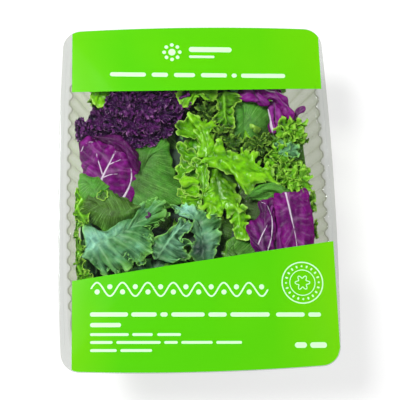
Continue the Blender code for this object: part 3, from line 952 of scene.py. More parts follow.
def crease(build, path, width, height, seed=0, step=0.35):
    """A small fold standing up in the film along a path, tapering at its ends."""
    path = np.asarray(path, float)
    seg = np.hypot(*np.diff(path, axis=0).T)
    s = np.concatenate([[0], np.cumsum(seg)])
    n = max(8, int(s[-1] / step))
    u = np.linspace(0, s[-1], n)
    c = np.stack([np.interp(u, s, path[:, k]) for k in range(2)], 1)
    t = np.gradient(c, axis=0)
    t /= np.linalg.norm(t, axis=1, keepdims=True)
    side = np.stack([-t[:, 1], t[:, 0]], 1)
    c = c + side * (0.35 * width * (noise1(u / 2.6, seed) + 0.6 * noise1(u / 1.1, seed + 1)))[:, None]
    v = np.linspace(-1, 1, 9)
    taper = np.sqrt(np.clip(np.minimum(u, s[-1] - u) / 3.0, 0.001, 1))
    grow = taper * np.clip(0.65 + 0.9 * noise1(u / 3.2, seed + 2), 0.1, 1.3)
    half = 0.5 * width * taper * (0.8 + 0.5 * np.abs(noise1(u / 4.0, seed + 3)))
    p = c[:, None, :] + side[:, None, :] * (half[:, None] * v[None])[..., None]
    lift = height * grow[:, None] * (0.5 + 0.5 * np.cos(math.pi * v))[None]
    z = film_top(p[..., 0], p[..., 1]) + 0.02 + lift
    slab(build, np.concatenate([p, z[..., None]], -1), 0.05)


def make_film(material):
    """Rings from the flange's outline to the middle."""
    b = Build()
    ring = tray_ring(0.35, FLANGE_R - 0.3)[::3]
    shares = np.concatenate([[1.0, 0.985, 0.965], np.linspace(0.94, 0.03, 32)])
    p = ring[:, None, :] * shares[None, :, None]
    z = film_top(p[..., 0], p[..., 1])
    top = np.concatenate([p, z[..., None]], -1)
    n, m = top.shape[:2]
    low = top.copy()
    low[..., 2] -= FILM_T
    idx = np.arange(n * m).reshape(n, m)
    j = np.roll(idx, -1, 0)
    up = np.stack([idx[:, :-1], j[:, :-1], j[:, 1:], idx[:, 1:]], -1).reshape(-1, 4)
    last = idx[:, -1]
    cap = np.array([(last[k], last[k + 1], last[n - 2 - k], last[n - 1 - k]) for k in range(n // 2 - 1)])
    rim = np.stack([idx[:, 0], idx[:, 0] + n * m, j[:, 0] + n * m, j[:, 0]], -1)
    quads = np.concatenate([up, cap, up[:, ::-1] + n * m, cap[:, ::-1] + n * m, rim])
    v = top.reshape(-1, 3)
    f = up[0]
    if np.cross(v[f[1]] - v[f[0]], v[f[3]] - v[f[0]])[2] < 0:
        quads = quads[:, ::-1]
    b.add(np.concatenate([v, low.reshape(-1, 3)]), quads)
    # creases beside the weld, mostly at the far right, and a line of the weld tool
    y = np.linspace(33, 72, 30)
    crease(b, np.stack([81.6 - 0.030 * (y - 33) + 0.9 * noise1(y / 6.0, 4), y], 1), 2.0, 0.42, 5)
    crease(b, np.stack([80.2 + 0.6 * noise1(y / 5.0, 7), y - 1], 1)[8:], 1.2, 0.25, 9)
    for k, (x0, y0, x1, y1, w, h) in enumerate([(72, 30, 66, 24, 1.0, 0.22), (76, 34, 68, 30, 1.2, 0.25), (79, 36, 72, 22, 0.9, 0.2),
                                                (74, 66, 80, 60, 1.2, 0.25), (66, 70, 73, 64, 1.0, 0.2), (-80, 60, -76, 66, 0.9, 0.15),
                                                (84.5, 37.8, 85.6, 40.6, 1.1, 0.3), (-83, -30, -80, -24, 0.7, 0.12)]):
        crease(b, [(x0, y0), (x1, y1)], w, h, 20 + k)
    y = np.linspace(-29, 36, 40)
    crease(b, np.stack([outline_x(y) - 4.3, y], 1), 0.5, 0.10, 31, step=0.8)
    return b.make("clear_film", material, sharp=60)


# ----------------------------------------------------------------------------
# Print on the film: two green panels and pale marks on them
# ----------------------------------------------------------------------------
PRINT_T = 0.06


def panel(build, x0, x1, low, high, nx=150, ny=60, lift=0.10, inset=0.5):
    """A printed panel between two lines low(x) and high(x), inside the flange."""
    x = np.linspace(x0, x1, nx)
    lim = outline_y(x, inset)
    lo = np.maximum(low(x), -lim)
    hi = np.minimum(high(x), lim)
    t = np.linspace(0, 1, ny)
    y = lo[:, None] + (hi - lo)[:, None] * t[None, :]
    xx = np.broadcast_to(x[:, None], y.shape)
    z = film_top(xx, y) + lift
    slab(build, np.stack([xx, y, z], -1), PRINT_T)


def ribbon(build, path, width, lift=0.2, closed=False, cap=True, across=3):
    """A mark of even width along a path on the film, with round ends."""
    path = np.asarray(path, float)
    s = np.concatenate([[0], np.cumsum(np.hypot(*np.diff(path, axis=0).T))])
    if closed:
        d = np.roll(path, -1, 0) - np.roll(path, 1, 0)
    else:
        d = np.gradient(path, axis=0)
    d /= np.maximum(np.linalg.norm(d, axis=1, keepdims=True), 1e-9)
    nrm = np.stack([-d[:, 1], d[:, 0]], 1)
    h = np.full(len(path), width / 2.0)
    if cap and not closed:
        e = np.minimum(s, s[-1] - s)
        k = np.clip(e / (width / 2.0), 0, 1)
        h = h * np.sqrt(np.maximum(1 - (1 - k) ** 2, 0.0004))
    t = np.linspace(-1, 1, across)
    p = path[:, None, :] + nrm[:, None, :] * (h[:, None] * t[None, :])[..., None]
    z = film_top(p[..., 0], p[..., 1]) + lift
    slab(build, np.concatenate([p, z[..., None]], -1), 0.05, wrap=closed)


def bar(build, x0, x1, y, width, tilt=0.0, lift=0.2):
    """A straight mark from x0 to x1, with points packed at its round ends."""
    w = width / 2.0
    ends = w * (1 - np.cos(np.linspace(0, math.pi / 2, 9)))
    span = x1 - x0
    mid = np.linspace(w, span - w, max(3, int(span / 3)))
    s = np.concatenate([ends[:-1], mid, span - ends[:-1][::-1]])
    path = np.stack([x0 + s, y + tilt * s], 1)
    ribbon(build, path, width, lift)


def disc(build, x, y, r, lift=0.2, n=28):
    t = np.linspace(0, 2 * math.pi, n, endpoint=False)
    rad = np.linspace(r, 0.06, 5)
    p = np.stack([x + np.cos(t)[:, None] * rad[None], y + np.sin(t)[:, None] * rad[None]], -1)
    z = film_top(p[..., 0], p[..., 1]) + lift
    slab(build, np.concatenate([p, z[..., None]], -1), 0.05, wrap=True)


def circle(x, y, r, n=96):
    t = np.linspace(0, 2 * math.pi, n, endpoint=False)
    return np.stack([x + r * np.cos(t), y + r * np.sin(t)], 1)


# ----------------------------------------------------------------------------
# Clear plastic
# ----------------------------------------------------------------------------
def clear_plastic(name, tint, edge_tint, gloss, rough, facing=2.2, low=0.04, rim=None, seal=None):
    """A thin clear sheet: light passes nearly straight on, greyed at grazing
    angles, and the surface shines more the flatter it is seen.  A Fresnel node
    would turn over on the sheet's far side, so the rise is made from Facing."""
    m = Nodes(name)
    lw = m.node("ShaderNodeLayerWeight", {"Blend": 0.5}).outputs["Facing"]
    k = m.math("POWER", lw, facing)
    if seal:
        # painted shade: the flange is tinted greyer, for the shaded ground seen through it
        tint = m.mix(m.attr("seal"), tint, seal)
    # darker at grazing angles: painted shade standing in for the refraction in the curved sheet
    col = m.mix(k, tint, edge_tint)
    if rim:
        # painted shade: darker where the sheet turns over the mouth and the base's edge, standing in for the refraction
        # there
        col = m.mix(m.attr("turn"), col, rim)
    clear = m.node("ShaderNodeBsdfTransparent", {"Color": col})
    shine = m.node("ShaderNodeBsdfGlossy", {"Color": (0.95, 0.97, 1.0), "Roughness": rough})
    rise = m.math("MULTIPLY", m.math("POWER", lw, 5.0), 1.0 - low)
    fac = m.math("MULTIPLY", m.math("ADD", rise, low), gloss, clamp=True)
    mixed = m.node("ShaderNodeMixShader", {0: fac, 1: clear.outputs[0], 2: shine.outputs[0]})
    return m.surface(mixed.outputs[0])


def print_material():
    """Lime ink under gloss, with a painted reflection that makes it lighter and yellower towards the ends of the
    panels.
    """
    m = Nodes("printed_green")
    pos = m.node("ShaderNodeTexCoord").outputs["Object"]
    sep = m.node("ShaderNodeSeparateXYZ", {0: pos})
    ax = m.math("ABSOLUTE", sep.outputs[0])
    # painted reflection: lighter and yellower towards the ends of the panels
    side = m.math("MULTIPLY", m.math("SUBTRACT", ax, 0.045), 16.0, clamp=True)
    slow = m.noise(pos, 9.0, 2.0)
    k = m.math("ADD", m.math("MULTIPLY", side, 0.8), m.math("MULTIPLY", m.math("SUBTRACT", slow, 0.5), 1.0), clamp=True)
    col = m.mix(k, rgb(80, 196, 0), rgb(120, 206, 0))
    p = m.node("ShaderNodeBsdfPrincipled", {"Base Color": col, "Roughness": 0.22,
                                            "Specular IOR Level": 0.3})
    return m.surface(p.outputs[0])


def mark_material():
    m = Nodes("printed_marks")
    p = m.node("ShaderNodeBsdfPrincipled", {"Base Color": rgb(205, 250, 196), "Roughness": 0.4})
    return m.surface(p.outputs[0])


def floor_material():
    """Pale, even floor that glows a little, so that the pack's shadow is light."""
    m = Nodes("pale_floor")
    pos = m.node("ShaderNodeTexCoord").outputs["Object"]
    n = m.noise(pos, 6.0, 3.0)
    col = m.mix(n, (0.35, 0.35, 0.35), (0.38, 0.38, 0.38))
    p = m.node("ShaderNodeBsdfPrincipled", {"Base Color": col, "Roughness": 0.7, "Specular IOR Level": 0.1,
                                            "Emission Color": (1.0, 1.0, 1.0), "Emission Strength": 0.68})
    return m.surface(p.outputs[0])


def core_material():
    # the heap's hidden middle is coloured dark slate: painted shade for the gaps between the leaves
    m = Nodes("core_painted_shade")
    pos = m.node("ShaderNodeTexCoord").outputs["Object"]
    n = m.noise(pos, 90.0, 4.0)
    n2 = m.noise(pos, 30.0, 3.0)
    col = m.mix(n, rgb(34, 50, 48), rgb(54, 82, 54))
    col = m.mix(m.math("MULTIPLY", m.math("SUBTRACT", n2, 0.45), 2.5, clamp=True), col, rgb(46, 52, 70))
    bumped = m.node("ShaderNodeBump", {"Strength": 0.6, "Distance": 0.002, "Height": n}).outputs[0]
    p = m.node("ShaderNodeBsdfPrincipled", {"Base Color": col, "Roughness": 0.65, "Normal": bumped})
    return m.surface(p.outputs[0])


# ----------------------------------------------------------------------------
# Core of the heap
# ----------------------------------------------------------------------------
def make_core(material):
    b = Build()
    nth, nz = 160, 26
    t = np.linspace(0, 2 * math.pi, nth, endpoint=False)
    k = np.linspace(0, 1, nz)
    lat = (k - 0.5) * math.pi * 0.96
    ex = 0.55
    cx, cy = np.cos(t), np.sin(t)
    sx = np.sign(cx) * np.abs(cx) ** ex
    sy = np.sign(cy) * np.abs(cy) ** ex
    ca = np.abs(np.cos(lat)) ** 0.45
    sa = np.sign(np.sin(lat)) * np.abs(np.sin(lat)) ** 0.8
    p = np.stack([sx[:, None] * ca[None] * 60.0, sy[:, None] * ca[None] * 86.0,
                  25.0 + sa[None] * 19.0 + 0 * sx[:, None]], -1)
    d = noise(p / 14.0, 5) * 3.2 + noise(p / 6.0, 6) * 1.4
    c = np.array([0, 0, 25.0])
    o = p - c
    o[..., 2] *= 2
    o /= np.linalg.norm(o, axis=-1, keepdims=True)
    p = p + o * d[..., None]
    # the heap leaves the far right corner free
    far = smooth(p[..., 1], 25.0, 60.0) * smooth(p[..., 0], 5.0, 50.0)
    p[..., 0] -= 17.0 * far
    idx = np.arange(nth * nz).reshape(nth, nz)
    j = np.roll(idx, -1, 0)
    q = np.stack([idx[:, :-1], j[:, :-1], j[:, 1:], idx[:, 1:]], -1).reshape(-1, 4)
    caps = []
    for col, rev in ((0, True), (nz - 1, False)):
        l = idx[:, col]
        c4 = np.array([(l[i], l[i + 1], l[nth - 2 - i], l[nth - 1 - i]) for i in range(nth // 2 - 1)])
        caps.append(c4[:, ::-1] if rev else c4)
    b.add(p.reshape(-1, 3), np.concatenate([q] + caps))
    return b.make("leaf_core", material)


# ----------------------------------------------------------------------------
# Leaves
# ----------------------------------------------------------------------------
KINDS = {
    "frilly": dict(curl=66, curl_at=0.6, bulge=-1.0, blister=(0.5, 7.0), teeth=(1.3, 2.6), veins=6,
                   ruffles=((2.8, 24, 0.12, 1.1, 0.2, 0.2), (2.4, 11, 0.45, 1.2, 0.35, 0.7),
                            (2.0, 5.4, 0.62, 1.2, 0.5, 0.35), (0.8, 2.6, 0.78, 1.1, 0.3, 0.5)),
                   relief=0.3, rib=(3.0, 0.9), thick=0.34, warp=2.4),
    "batavia": dict(curl=24, curl_at=0.7, bulge=1.0, blister=(0.6, 9.0), teeth=(0.5, 4.5), veins=5,
                    ruffles=((2.6, 24, 0.15, 1.1, 0.2, 0.25), (3.0, 11.5, 0.42, 1.2, 0.45, 0.6),
                             (1.2, 5.4, 0.68, 1.2, 0.45, 0.4)),
                    relief=0.1, rib=(2.2, 0.7), thick=0.38, warp=1.6),
    "lollo": dict(curl=60, curl_at=0.25, bulge=1.0, blister=(1.2, 4.0), teeth=(1.5, 2.4), veins=6,
                  ruffles=((2.2, 6.5, 0.1, 1.0, 0.5, 0.4), (1.5, 3.0, 0.15, 0.9, 0.5, 0.5),
                           (0.8, 1.7, 0.25, 0.9, 0.4, 0.5)),
                  relief=0.2, rib=(1.0, 0.4), thick=0.3, step=0.62, warp=1.5, slim=0.9),
    "smooth": dict(curl=10, curl_at=0.6, bulge=1.5, blister=(0.2, 9.0), teeth=(0.4, 6.0), veins=7,
                   ruffles=((1.4, 30, 0.2, 1.3, 0.0, 0.2), (0.5, 11, 0.6, 1.5, 0.0, 0.3)),
                   relief=0.08, rib=(2.6, 0.8), thick=0.4, warp=2.2),
    "radicchio": dict(curl=12, curl_at=0.6, bulge=3.0, blister=(0.45, 7.0), teeth=(0.35, 5.0), veins=3,
                      ruffles=((1.4, 22, 0.1, 1.3, 0.0, 0.1), (0.5, 8, 0.6, 1.5, 0.0, 0.2)),
                      relief=0.3, rib=(2.0, 0.8), thick=0.6, warp=1.8),
    "endive": dict(curl=60, curl_at=0.2, bulge=0.6, blister=(0.4, 2.6), teeth=(1.5, 2.2), veins=4,
                   ruffles=((2.6, 7.6, 0.1, 1.0, 0.5, 0.45), (1.3, 3.4, 0.3, 1.0, 0.4, 0.4)),
                   relief=0.12, rib=(0.9, 0.4), thick=0.3, step=0.55, warp=0.8),
}
DROP = {"frilly": 5.0, "batavia": 5.0, "lollo": 3.5, "smooth": 1.5, "radicchio": 2.0, "endive": 3.0}


def leaf_of(build, kind, margin, spine, seed, **over):
    opts = dict(KINDS[kind])
    opts.update(over)
    return leaf(build, margin, spine, seed=seed, **opts)


def with_z(points, z):
    """Puts points at height z; a third value is an offset from it."""
    return [(p[0], p[1], z + (p[2] if len(p) > 2 else 0.0)) for p in points]


def rib_on(build, face, path, w0, w1, seed=0, sink=0.35, tone=0.5):
    """A pale rib that follows a path (x, y) on a leaf's upper face."""
    p, nn = face
    flat_p, flat_n = p.reshape(-1, 3), nn.reshape(-1, 3)
    c = curve(path, 60)
    n = max(12, int(np.linalg.norm(np.diff(c, axis=0), axis=1).sum() / 0.9))
    c = curve(path, n)
    d = ((flat_p[None, :, :2] - c[:, None, :2]) ** 2).sum(-1)
    near = np.argsort(d, axis=1)[:, :5]
    w = 1.0 / (np.take_along_axis(d, near, 1) + 0.05)
    w /= w.sum(1, keepdims=True)
    z = (flat_p[near, 2] * w).sum(1)
    up = (flat_n[near] * w[..., None]).sum(1)
    up[up[:, 2] < 0] *= -1
    up /= np.linalg.norm(up, axis=1, keepdims=True)
    k = np.array([0.25, 0.5, 0.25])
    z = np.convolve(np.pad(z, 1, "edge"), k, "valid")
    c = np.stack([c[:, 0], c[:, 1], z], 1)
    t = np.gradient(c, axis=0)
    t /= np.linalg.norm(t, axis=1, keepdims=True)
    side = np.cross(t, up)
    side /= np.linalg.norm(side, axis=1, keepdims=True)
    u = np.linspace(0, 1, n)
    w = (w0 + (w1 - w0) * u ** 0.8) * (1 + 0.12 * noise1(u * 7, seed)) * np.sqrt(np.clip((1 - u) * 8, 0.02, 1))
    m = 8
    a = np.linspace(0, 2 * math.pi, m, endpoint=False)
    ring = (c[:, None] + side[:, None] * (w[:, None] * 0.5 * np.cos(a))[..., None]
            + up[:, None] * ((w[:, None] * 0.30 * np.sin(a)) - sink * 0.3)[..., None])
    ring = press(ring, 0.6)
    idx = np.arange(n * m).reshape(n, m)
    j = np.roll(idx, -1, 1)
    q = np.stack([idx[:-1], idx[1:], j[1:], j[:-1]], -1).reshape(-1, 4)
    cap = []
    for row, rev in ((idx[0], False), (idx[-1], True)):
        cc = np.array([(row[0], row[1], row[2], row[3]), (row[0], row[3], row[4], row[7]),
                       (row[4], row[5], row[6], row[7])])
        cap.append(cc[:, ::-1] if rev else cc)
    quads = np.concatenate([q] + cap)
    v = ring.reshape(-1, 3)
    f = quads[:len(q)]
    fn = np.cross(v[f[:, 1]] - v[f[:, 0]], v[f[:, 3]] - v[f[:, 0]])
    if (fn * (v[f[:, 0]] - c[f[:, 0] // m])).sum() < 0:
        quads = quads[:, ::-1]
    length = n * 0.9
    gu = np.broadcast_to((u * length)[:, None], (n, m + 1))
    gv = np.broadcast_to(np.linspace(0, 4.0, m + 1)[None], (n, m + 1))
    fuv = np.stack([np.stack([g[:-1, :-1], g[1:, :-1], g[1:, 1:], g[:-1, 1:]], -1).reshape(-1, 4)
                    for g in (gu, gv)], -1)
    box = np.array([(0.0, 0.0), (1.0, 0.0), (1.0, 1.0), (0.0, 1.0)])
    end = np.stack([box * 0.8 + (i * 1.0, 4.4) for i in range(6)])
    uv = np.concatenate([fuv, end])
    if (fn * (v[f[:, 0]] - c[f[:, 0] // m])).sum() < 0:
        uv = uv[:, ::-1]
    build.islands.append(dict(size=(length + 6, 6.0), whole=uv))
    nv = len(v)
    build.add(v, quads, edge=np.full(nv, 0.2), vein=np.full(nv, 8.0), side=np.zeros(nv),
              tone=np.full(nv, tone), spare=np.zeros(nv), swell=np.full(nv, 0.5), rim=np.zeros(nv),
              flat=np.stack([np.repeat(u * length, m), np.tile(a, n) * 0.5, np.full(nv, seed * 3.7)], -1))


def loose(build, kind, centre, along, normal, size, seed, bend=0.0, cup=0.0, wide=0.35, **over):
    """A whole leaf of a general shape, placed anywhere.

    along and normal are the directions of its midrib and of its upper face;
    size is its length and width; bend and cup curve it along and across."""
    y = np.asarray(along, float)
    y /= np.linalg.norm(y)
    z = np.asarray(normal, float)
    z -= y * (z @ y)
    z /= np.linalg.norm(z)
    x = np.cross(y, z)
    length, width = size
    rng = np.random.RandomState(seed)
    t = np.linspace(0.0, 1.0, 17)
    a = (t - 0.5) * 2 * math.pi * 0.97
    # an egg shape, broader towards the tip
    ly = -np.cos(a * 1.0)
    ly = 0.5 + 0.5 * np.cos(a)
    lx = np.sin(a) * (0.5 + wide * (ly - 0.4)) / 0.62
    lx = lx * (1 + 0.10 * rng.uniform(-1, 1, len(a)))
    px, py = lx * width * 0.5, (ly - 0.5) * length
    sy = np.linspace(-0.5, 0.32, 6) * length
    sx = rng.uniform(-0.05, 0.05) * width * np.linspace(0, 1, 6) ** 2

    def world(qx, qy):
        h = bend * ((qy / length + 0.5) ** 2 - 0.3) + cup * (qx / width * 2) ** 2
        return (np.asarray(centre, float) + qx[:, None] * x + qy[:, None] * y + h[:, None] * z)

    return leaf_of(build, kind, world(px, py), world(sx, sy), seed, up=tuple(z), **over)


purple, yellow, frilly, plain_leaves, red_leaves, curly = [Build() for _ in range(6)]
INTO = {"frilly": frilly, "batavia": yellow, "lollo": purple, "smooth": plain_leaves,
        "radicchio": red_leaves, "endive": curly}


def hero(kind, z, margin, spine, seed, zs=None, build=None, **over):
    """A leaf on top of the heap: z is its margin's height, zs its midrib's."""
    zs = z if zs is None else zs
    m = np.array(with_z(margin, z - DROP[kind]), float)
    wave = noise1(np.arange(len(m)) * 0.7, seed + 11) * 1.2
    m[:, 2] += wave
    s = np.array(with_z(spine, zs - DROP[kind]), float)
    return leaf_of(build or INTO[kind], kind, m, s, seed, **over)


# ---- broad smooth leaves, low in the heap -----------------------------------
hero("smooth", 51.5, [(46, -64), (50, -48), (46, -36), (42, -30), (31, -28), (22, -29), (17.5, -33),
                      (16.5, -46), (20, -60), (30, -68)],
     [(40, -70), (34, -54), (26, -42), (20, -36)], 101, zs=52.5, tone=0.5, spare=0.08, step=1.2, slim=0.9)
hero("smooth", 47.0, [(38, -30), (31, -24), (28, -12), (27, 2), (30, 10), (38, 12), (47, 8), (52, 0),
                      (50, -12), (44, -24)],
     [(39, -32), (38, -16), (37, -2), (36, 6)], 102, tone=0.0, zs=48, spare=0.5, step=1.3, slim=0.8)
# half moon under the arm: an upper strip in the light and a lower one
hero("smooth", 54.0, [(33, -2.6), (35, 1.5), (40, 5.4), (47, 7.8), (54, 7.0), (60, 3.4), (66, 0), (60, -2),
                      (54, 0.5), (47, 2.6), (40.3, 0.0)],
     [(31.5, -3), (39, 1.8), (47, 4.9), (57, 2.6)], 103, tone=1.0, zs=56.4, tints=((44, 5, 6, 0.6),), step=0.7, rib=(0.8, 0.4))
hero("smooth", 51.0, [(34, -3), (40, 0.6), (46, 3.4), (52, 1), (50, -3.5), (44, -6.2), (37, -5)],
     [(33, -4), (40, -2.4), (47, -1.2)], 106, tone=0.9, zs=52.0, step=0.8, rib=(0.8, 0.4))
# top right, grey-green, with patches of painted shadow
hero("smooth", 47.5, [(54, 30), (44, 24), (33, 26), (26, 33), (23, 42), (22, 54), (24, 63), (30, 70),
                      (42, 70), (53, 63), (58, 50), (58, 38)],
     [(30, 24), (31, 38), (33, 50), (34, 62)], 104, tone=0.9, zs=50.5, step=1.05, bulge=2.5, shades=((49, 44, 10, 0.5), (40, 26, 11, 0.6)), tints=((30, 56, 12, 0.6),))
# left: the half that lies over, green, its left side darkened by painted shadow
hero("smooth", 51.0, [(-44, -14), (-30, -12), (-16, -9), (-7, -3), (-9, 8, -1), (-13, 17, -2), (-16.5, 27, -2),
                      (-17, 35, 0), (-20, 41, 1), (-25, 40), (-34, 36), (-42, 31, -2), (-49, 20, -4), (-50, 6, -5), (-49, -6, -4)],
     [(-47, -8, -3), (-42, 4), (-36, 16), (-30, 28)], 105, tone=0.75, zs=53.0, step=1.05, bulge=2.4,
     shades=((-39, 22, 9, 0.5), (-37, 6, 7, 0.35)), tints=((-20, 35, 6, 0.6), (-14, 4, 9, 0.3)),
     ruffles=((1.6, 34, 0.2, 1.5, 0.0, 0.1), (0.7, 9, 0.7, 1.5, 0.0, 0.3)))

# ---- radicchio, left --------------------------------------------------------
face = hero("radicchio", 54.0, [(-60, -8), (-50, -9), (-41.5, 0), (-38.6, 12), (-37.2, 23), (-40.5, 32), (-50, 37.5),
                         (-60, 39), (-70, 40.5), (-76.8, 36.5), (-77.2, 28), (-75, 18.5), (-72.5, 10), (-68, -4)],
     [(-64, -10), (-62, 6), (-57.5, 20), (-52.5, 30)], 110, zs=57.4, bulge=2.2, tone=0.5, rib=(1.8, 0.7), blister=(1.5, 7.0),
     step=0.92)
rib_on(red_leaves, face, [(-62.5, 6), (-61, 12), (-57, 20.3), (-51.9, 30.5)], 1.9, 0.6, 1)
rib_on(red_leaves, face, [(-61, 14), (-62.5, 19), (-64.5, 26), (-64.7, 31)], 1.1, 0.4, 2)
rib_on(red_leaves, face, [(-60.5, 12), (-56, 13.6), (-51, 14.3)], 1.0, 0.4, 3)
rib_on(red_leaves, face, [(-56.8, 20.6), (-52, 22.4), (-48.6, 24)], 0.9, 0.4, 12)
rib_on(red_leaves, face, [(-48.2, -2), (-44.4, 5), (-42.4, 12), (-42.6, 19)], 1.9, 0.7, 4)
rib_on(red_leaves, face, [(-75.5, 31), (-73, 34.5), (-69, 36.4), (-66, 36.0)], 0.9, 0.4, 5)
# its rolled top margin, darkened by painted shade
hero("radicchio", 56.5, [(-66, 41.5), (-58, 41), (-48, 38), (-40, 33), (-36.0, 27), (-36, 17), (-39.4, 17),
                         (-42, 23.5), (-49, 29), (-58, 34.5)],
     [(-67, 39.5), (-55, 37), (-45, 31.5), (-39, 24)], 111, zs=58.8, bulge=2.0, tone=0.0, veins=2, step=0.8, spare=0.62)
# a dark gap, filled by a leaf darkened with painted shade, and a pale sliver of rib behind it
hero("frilly", 51.0, [(-44, 34), (-38, 31), (-30, 34), (-31, 40), (-40, 44), (-46, 40)],
     [(-46, 37), (-40, 38), (-35, 38)], 113, zs=51.5, tone=0.1, spare=0.55)

# ---- left: the half folded over, olive --------------------------------------
# patches of painted shadow darken it
hero("smooth", 56.0, [(-37, -9), (-43.5, -16, -2), (-49.5, -21, -4), (-56, -22.5, -5), (-64, -21, -5), (-70, -18, -4), (-73, -10, -1),
                      (-71, -2), (-72.6, 5.3), (-74.5, 12.8), (-67, 12.4), (-60.5, 10.2), (-53.4, 5), (-47.7, -1),
                      (-41, -6)],
     [(-36.5, -8), (-47, -11), (-58, -10), (-68, -4)], 112, tone=0.08, zs=58.6, bulge=3.0, step=0.8, shades=((-70, -6, 7, 0.3), (-52, -17, 8, 0.3)),
     ruffles=((1.4, 26, 0.3, 1.5, 0.0, 0.1), (0.7, 8, 0.7, 1.5, 0.0, 0.3)))
# its left lobe, light green, and a small curled bit on it
hero("smooth", 58.5, [(-61, -3), (-69, -6), (-74.5, -1), (-76, 6), (-76, 13.5), (-69, 13.5), (-62, 10.6), (-56, 5)],
     [(-63, -1), (-67.5, 4), (-71, 9)], 114, tone=1.1, zs=60.0, step=0.7, rib=(0.8, 0.4), warp=1.0)
hero("batavia", 64.5, [(-62, 2.6), (-64.5, -0.4), (-63, -3.4), (-59.6, -3.6), (-57, -0.8), (-58.5, 2.4)],
     [(-60, 3), (-60.6, 0.6), (-61, -1.6)], 115, zs=62.0, tone=0.3, step=0.5, rib=(0.5, 0.3), bulge=-1.5, warp=0.4,
     ruffles=((0.8, 4.0, 0.3, 1.1, 0.3, 0.3),), curl=0)

# ---- blue-green frilly leaves, lower left -----------------------------------
FOLDS = ((2.6, 22, 0.0, 0.9, 0.2, 0.2), (2.6, 9.5, 0.5, 1.2, 0.4, 0.7), (1.8, 4.8, 0.66, 1.2, 0.5, 0.35),
         (0.6, 2.6, 0.78, 1.1, 0.3, 0.5))
# the large fan: smooth along its top, frilled on the right and below, with a pale painted sheen on its left and patches
# of painted shadow
hero("frilly", 56.5, [(-75, -39), (-73.2, -31.4), (-72.3, -25.6), (-73.9, -20.3), (-70, -18.7), (-62.9, -20),
                      (-55.7, -19.7), (-49.3, -18.8), (-43.5, -15.2), (-37.7, -9.4), (-33.5, -5), (-30, -3),
                      (-26.5, -3.4), (-22, -7), (-23.6, -11.5), (-21, -14.5), (-25, -19.5), (-28, -24), (-30.5, -28.5),
                      (-30, -33), (-32, -38), (-36, -42), (-42, -45), (-47, -50), (-54, -52), (-61, -51), (-67, -44)],
     [(-74, -40), (-66, -33), (-57, -28.5), (-47, -23.5), (-37, -17)], 120, zs=59.0, tone=0.08, tints=((-68, -30, 8, 0.75), (-60, -23, 6, 0.45), (-52, -22, 5, 0.3), (-39, -34, 6, 0.3)),
     shades=((-48, -31, 6, 0.15), (-62, -42, 7, 0.3)), bulge=2.2, curl=26,
     rib=(3.0, 1.0), relief=0.45, ruffles=FOLDS, step=0.8, veins=9,
     frill=((0, 0.0), (0.38, 0.0), (0.44, 1.0), (0.97, 1.2), (1.0, 0.8)))
# frills along its right edge, lying over
hero("frilly", 57.5, [(-40, -14), (-36, -8), (-31, -3.2), (-26, -2), (-21, -5), (-21, -9), (-17.5, -13), (-24, -16),
                      (-27, -20), (-30, -22), (-35, -20)],
     [(-40, -17), (-34, -13), (-28, -10), (-24, -9)], 121, zs=57.4, bulge=-2.5, tone=0.05, curl=40, rib=(1.6, 0.6),
     relief=0.4, step=0.7, frill=((0, 0.2), (0.3, 0.5), (0.5, 1.0), (1, 1.0)))
hero("frilly", 56.8, [(-37, -26), (-29, -25.5), (-27, -29), (-30, -33), (-32, -37), (-37, -38.5), (-42, -36), (-44, -31)],
     [(-45, -29), (-39, -30.5), (-34, -31.5)], 125, zs=55.5, bulge=-2.0, tone=0.3, curl=50, rib=(1.4, 0.6), relief=0.4, step=0.7)
# below the fan: thin frilled strips that hang down, with gaps between
for k, (x, y, q, ln) in enumerate([(-59.5, -44.5, -97, 15), (-52.5, -44.5, -80, 14), (-45.5, -43.5, -72, 13), (-39, -40.5, -60, 11)]):
    a = math.radians(q)
    loose(frilly, "frilly", (x, y, 51.5), (math.cos(a), math.sin(a), -0.12), (0.1, 0.1, 1), (ln, 6.5), 190 + k, tone=0.25,
          step=0.65, rib=(1.6, 0.6), relief=0.4, curl=50, ruffles=((1.6, 7, 0.3, 1.1, 0.4, 0.5), (1.0, 3.6, 0.5, 1.1, 0.4, 0.4)))
# second fan, with a pale painted sheen and a patch of painted shadow
hero("frilly", 56.5, [(-29, -42), (-31, -33), (-29, -29.5), (-25.2, -26.5), (-18, -22.3), (-14.5, -18.5), (-11.8, -14.8),
                      (-8.6, -15), (-8.4, -18), (-4.8, -16.8), (-3.0, -20.9), (-4.6, -24.4), (-8.8, -25.4), (-11.8, -28.8),
                      (-8.6, -31.6), (-5.6, -32.6), (-8.9, -35), (-5, -41), (-16, -44)],
     [(-27, -42), (-19.5, -31), (-13.6, -24), (-8.5, -20.1)], 122, zs=58.0, tone=0.25, tints=((-12, -21, 6, 0.35), (-18, -34, 6, 0.2)), shades=((-25, -39, 6, 0.35),), curl=36, rib=(1.8, 0.8), relief=0.4,
     ruffles=((1.6, 18, 0.1, 1.0, 0.2, 0.2), (1.6, 7.5, 0.5, 1.2, 0.4, 0.6), (1.0, 3.8, 0.68, 1.2, 0.5, 0.4)), step=0.75,
     frill=((0, 0.0), (0.34, 0.1), (0.4, 1.0), (1, 1.1)))
# a leaf below the fans, darkened by painted shade
hero("frilly", 48.0, [(-46, -62), (-50, -52), (-44, -45), (-34, -42), (-22, -41), (-8, -44), (-6, -52), (-20, -62)],
     [(-34, -64), (-32, -55), (-28, -49)], 123, zs=48.0, tone=0.3, spare=0.35, step=1.5, slim=0.8)
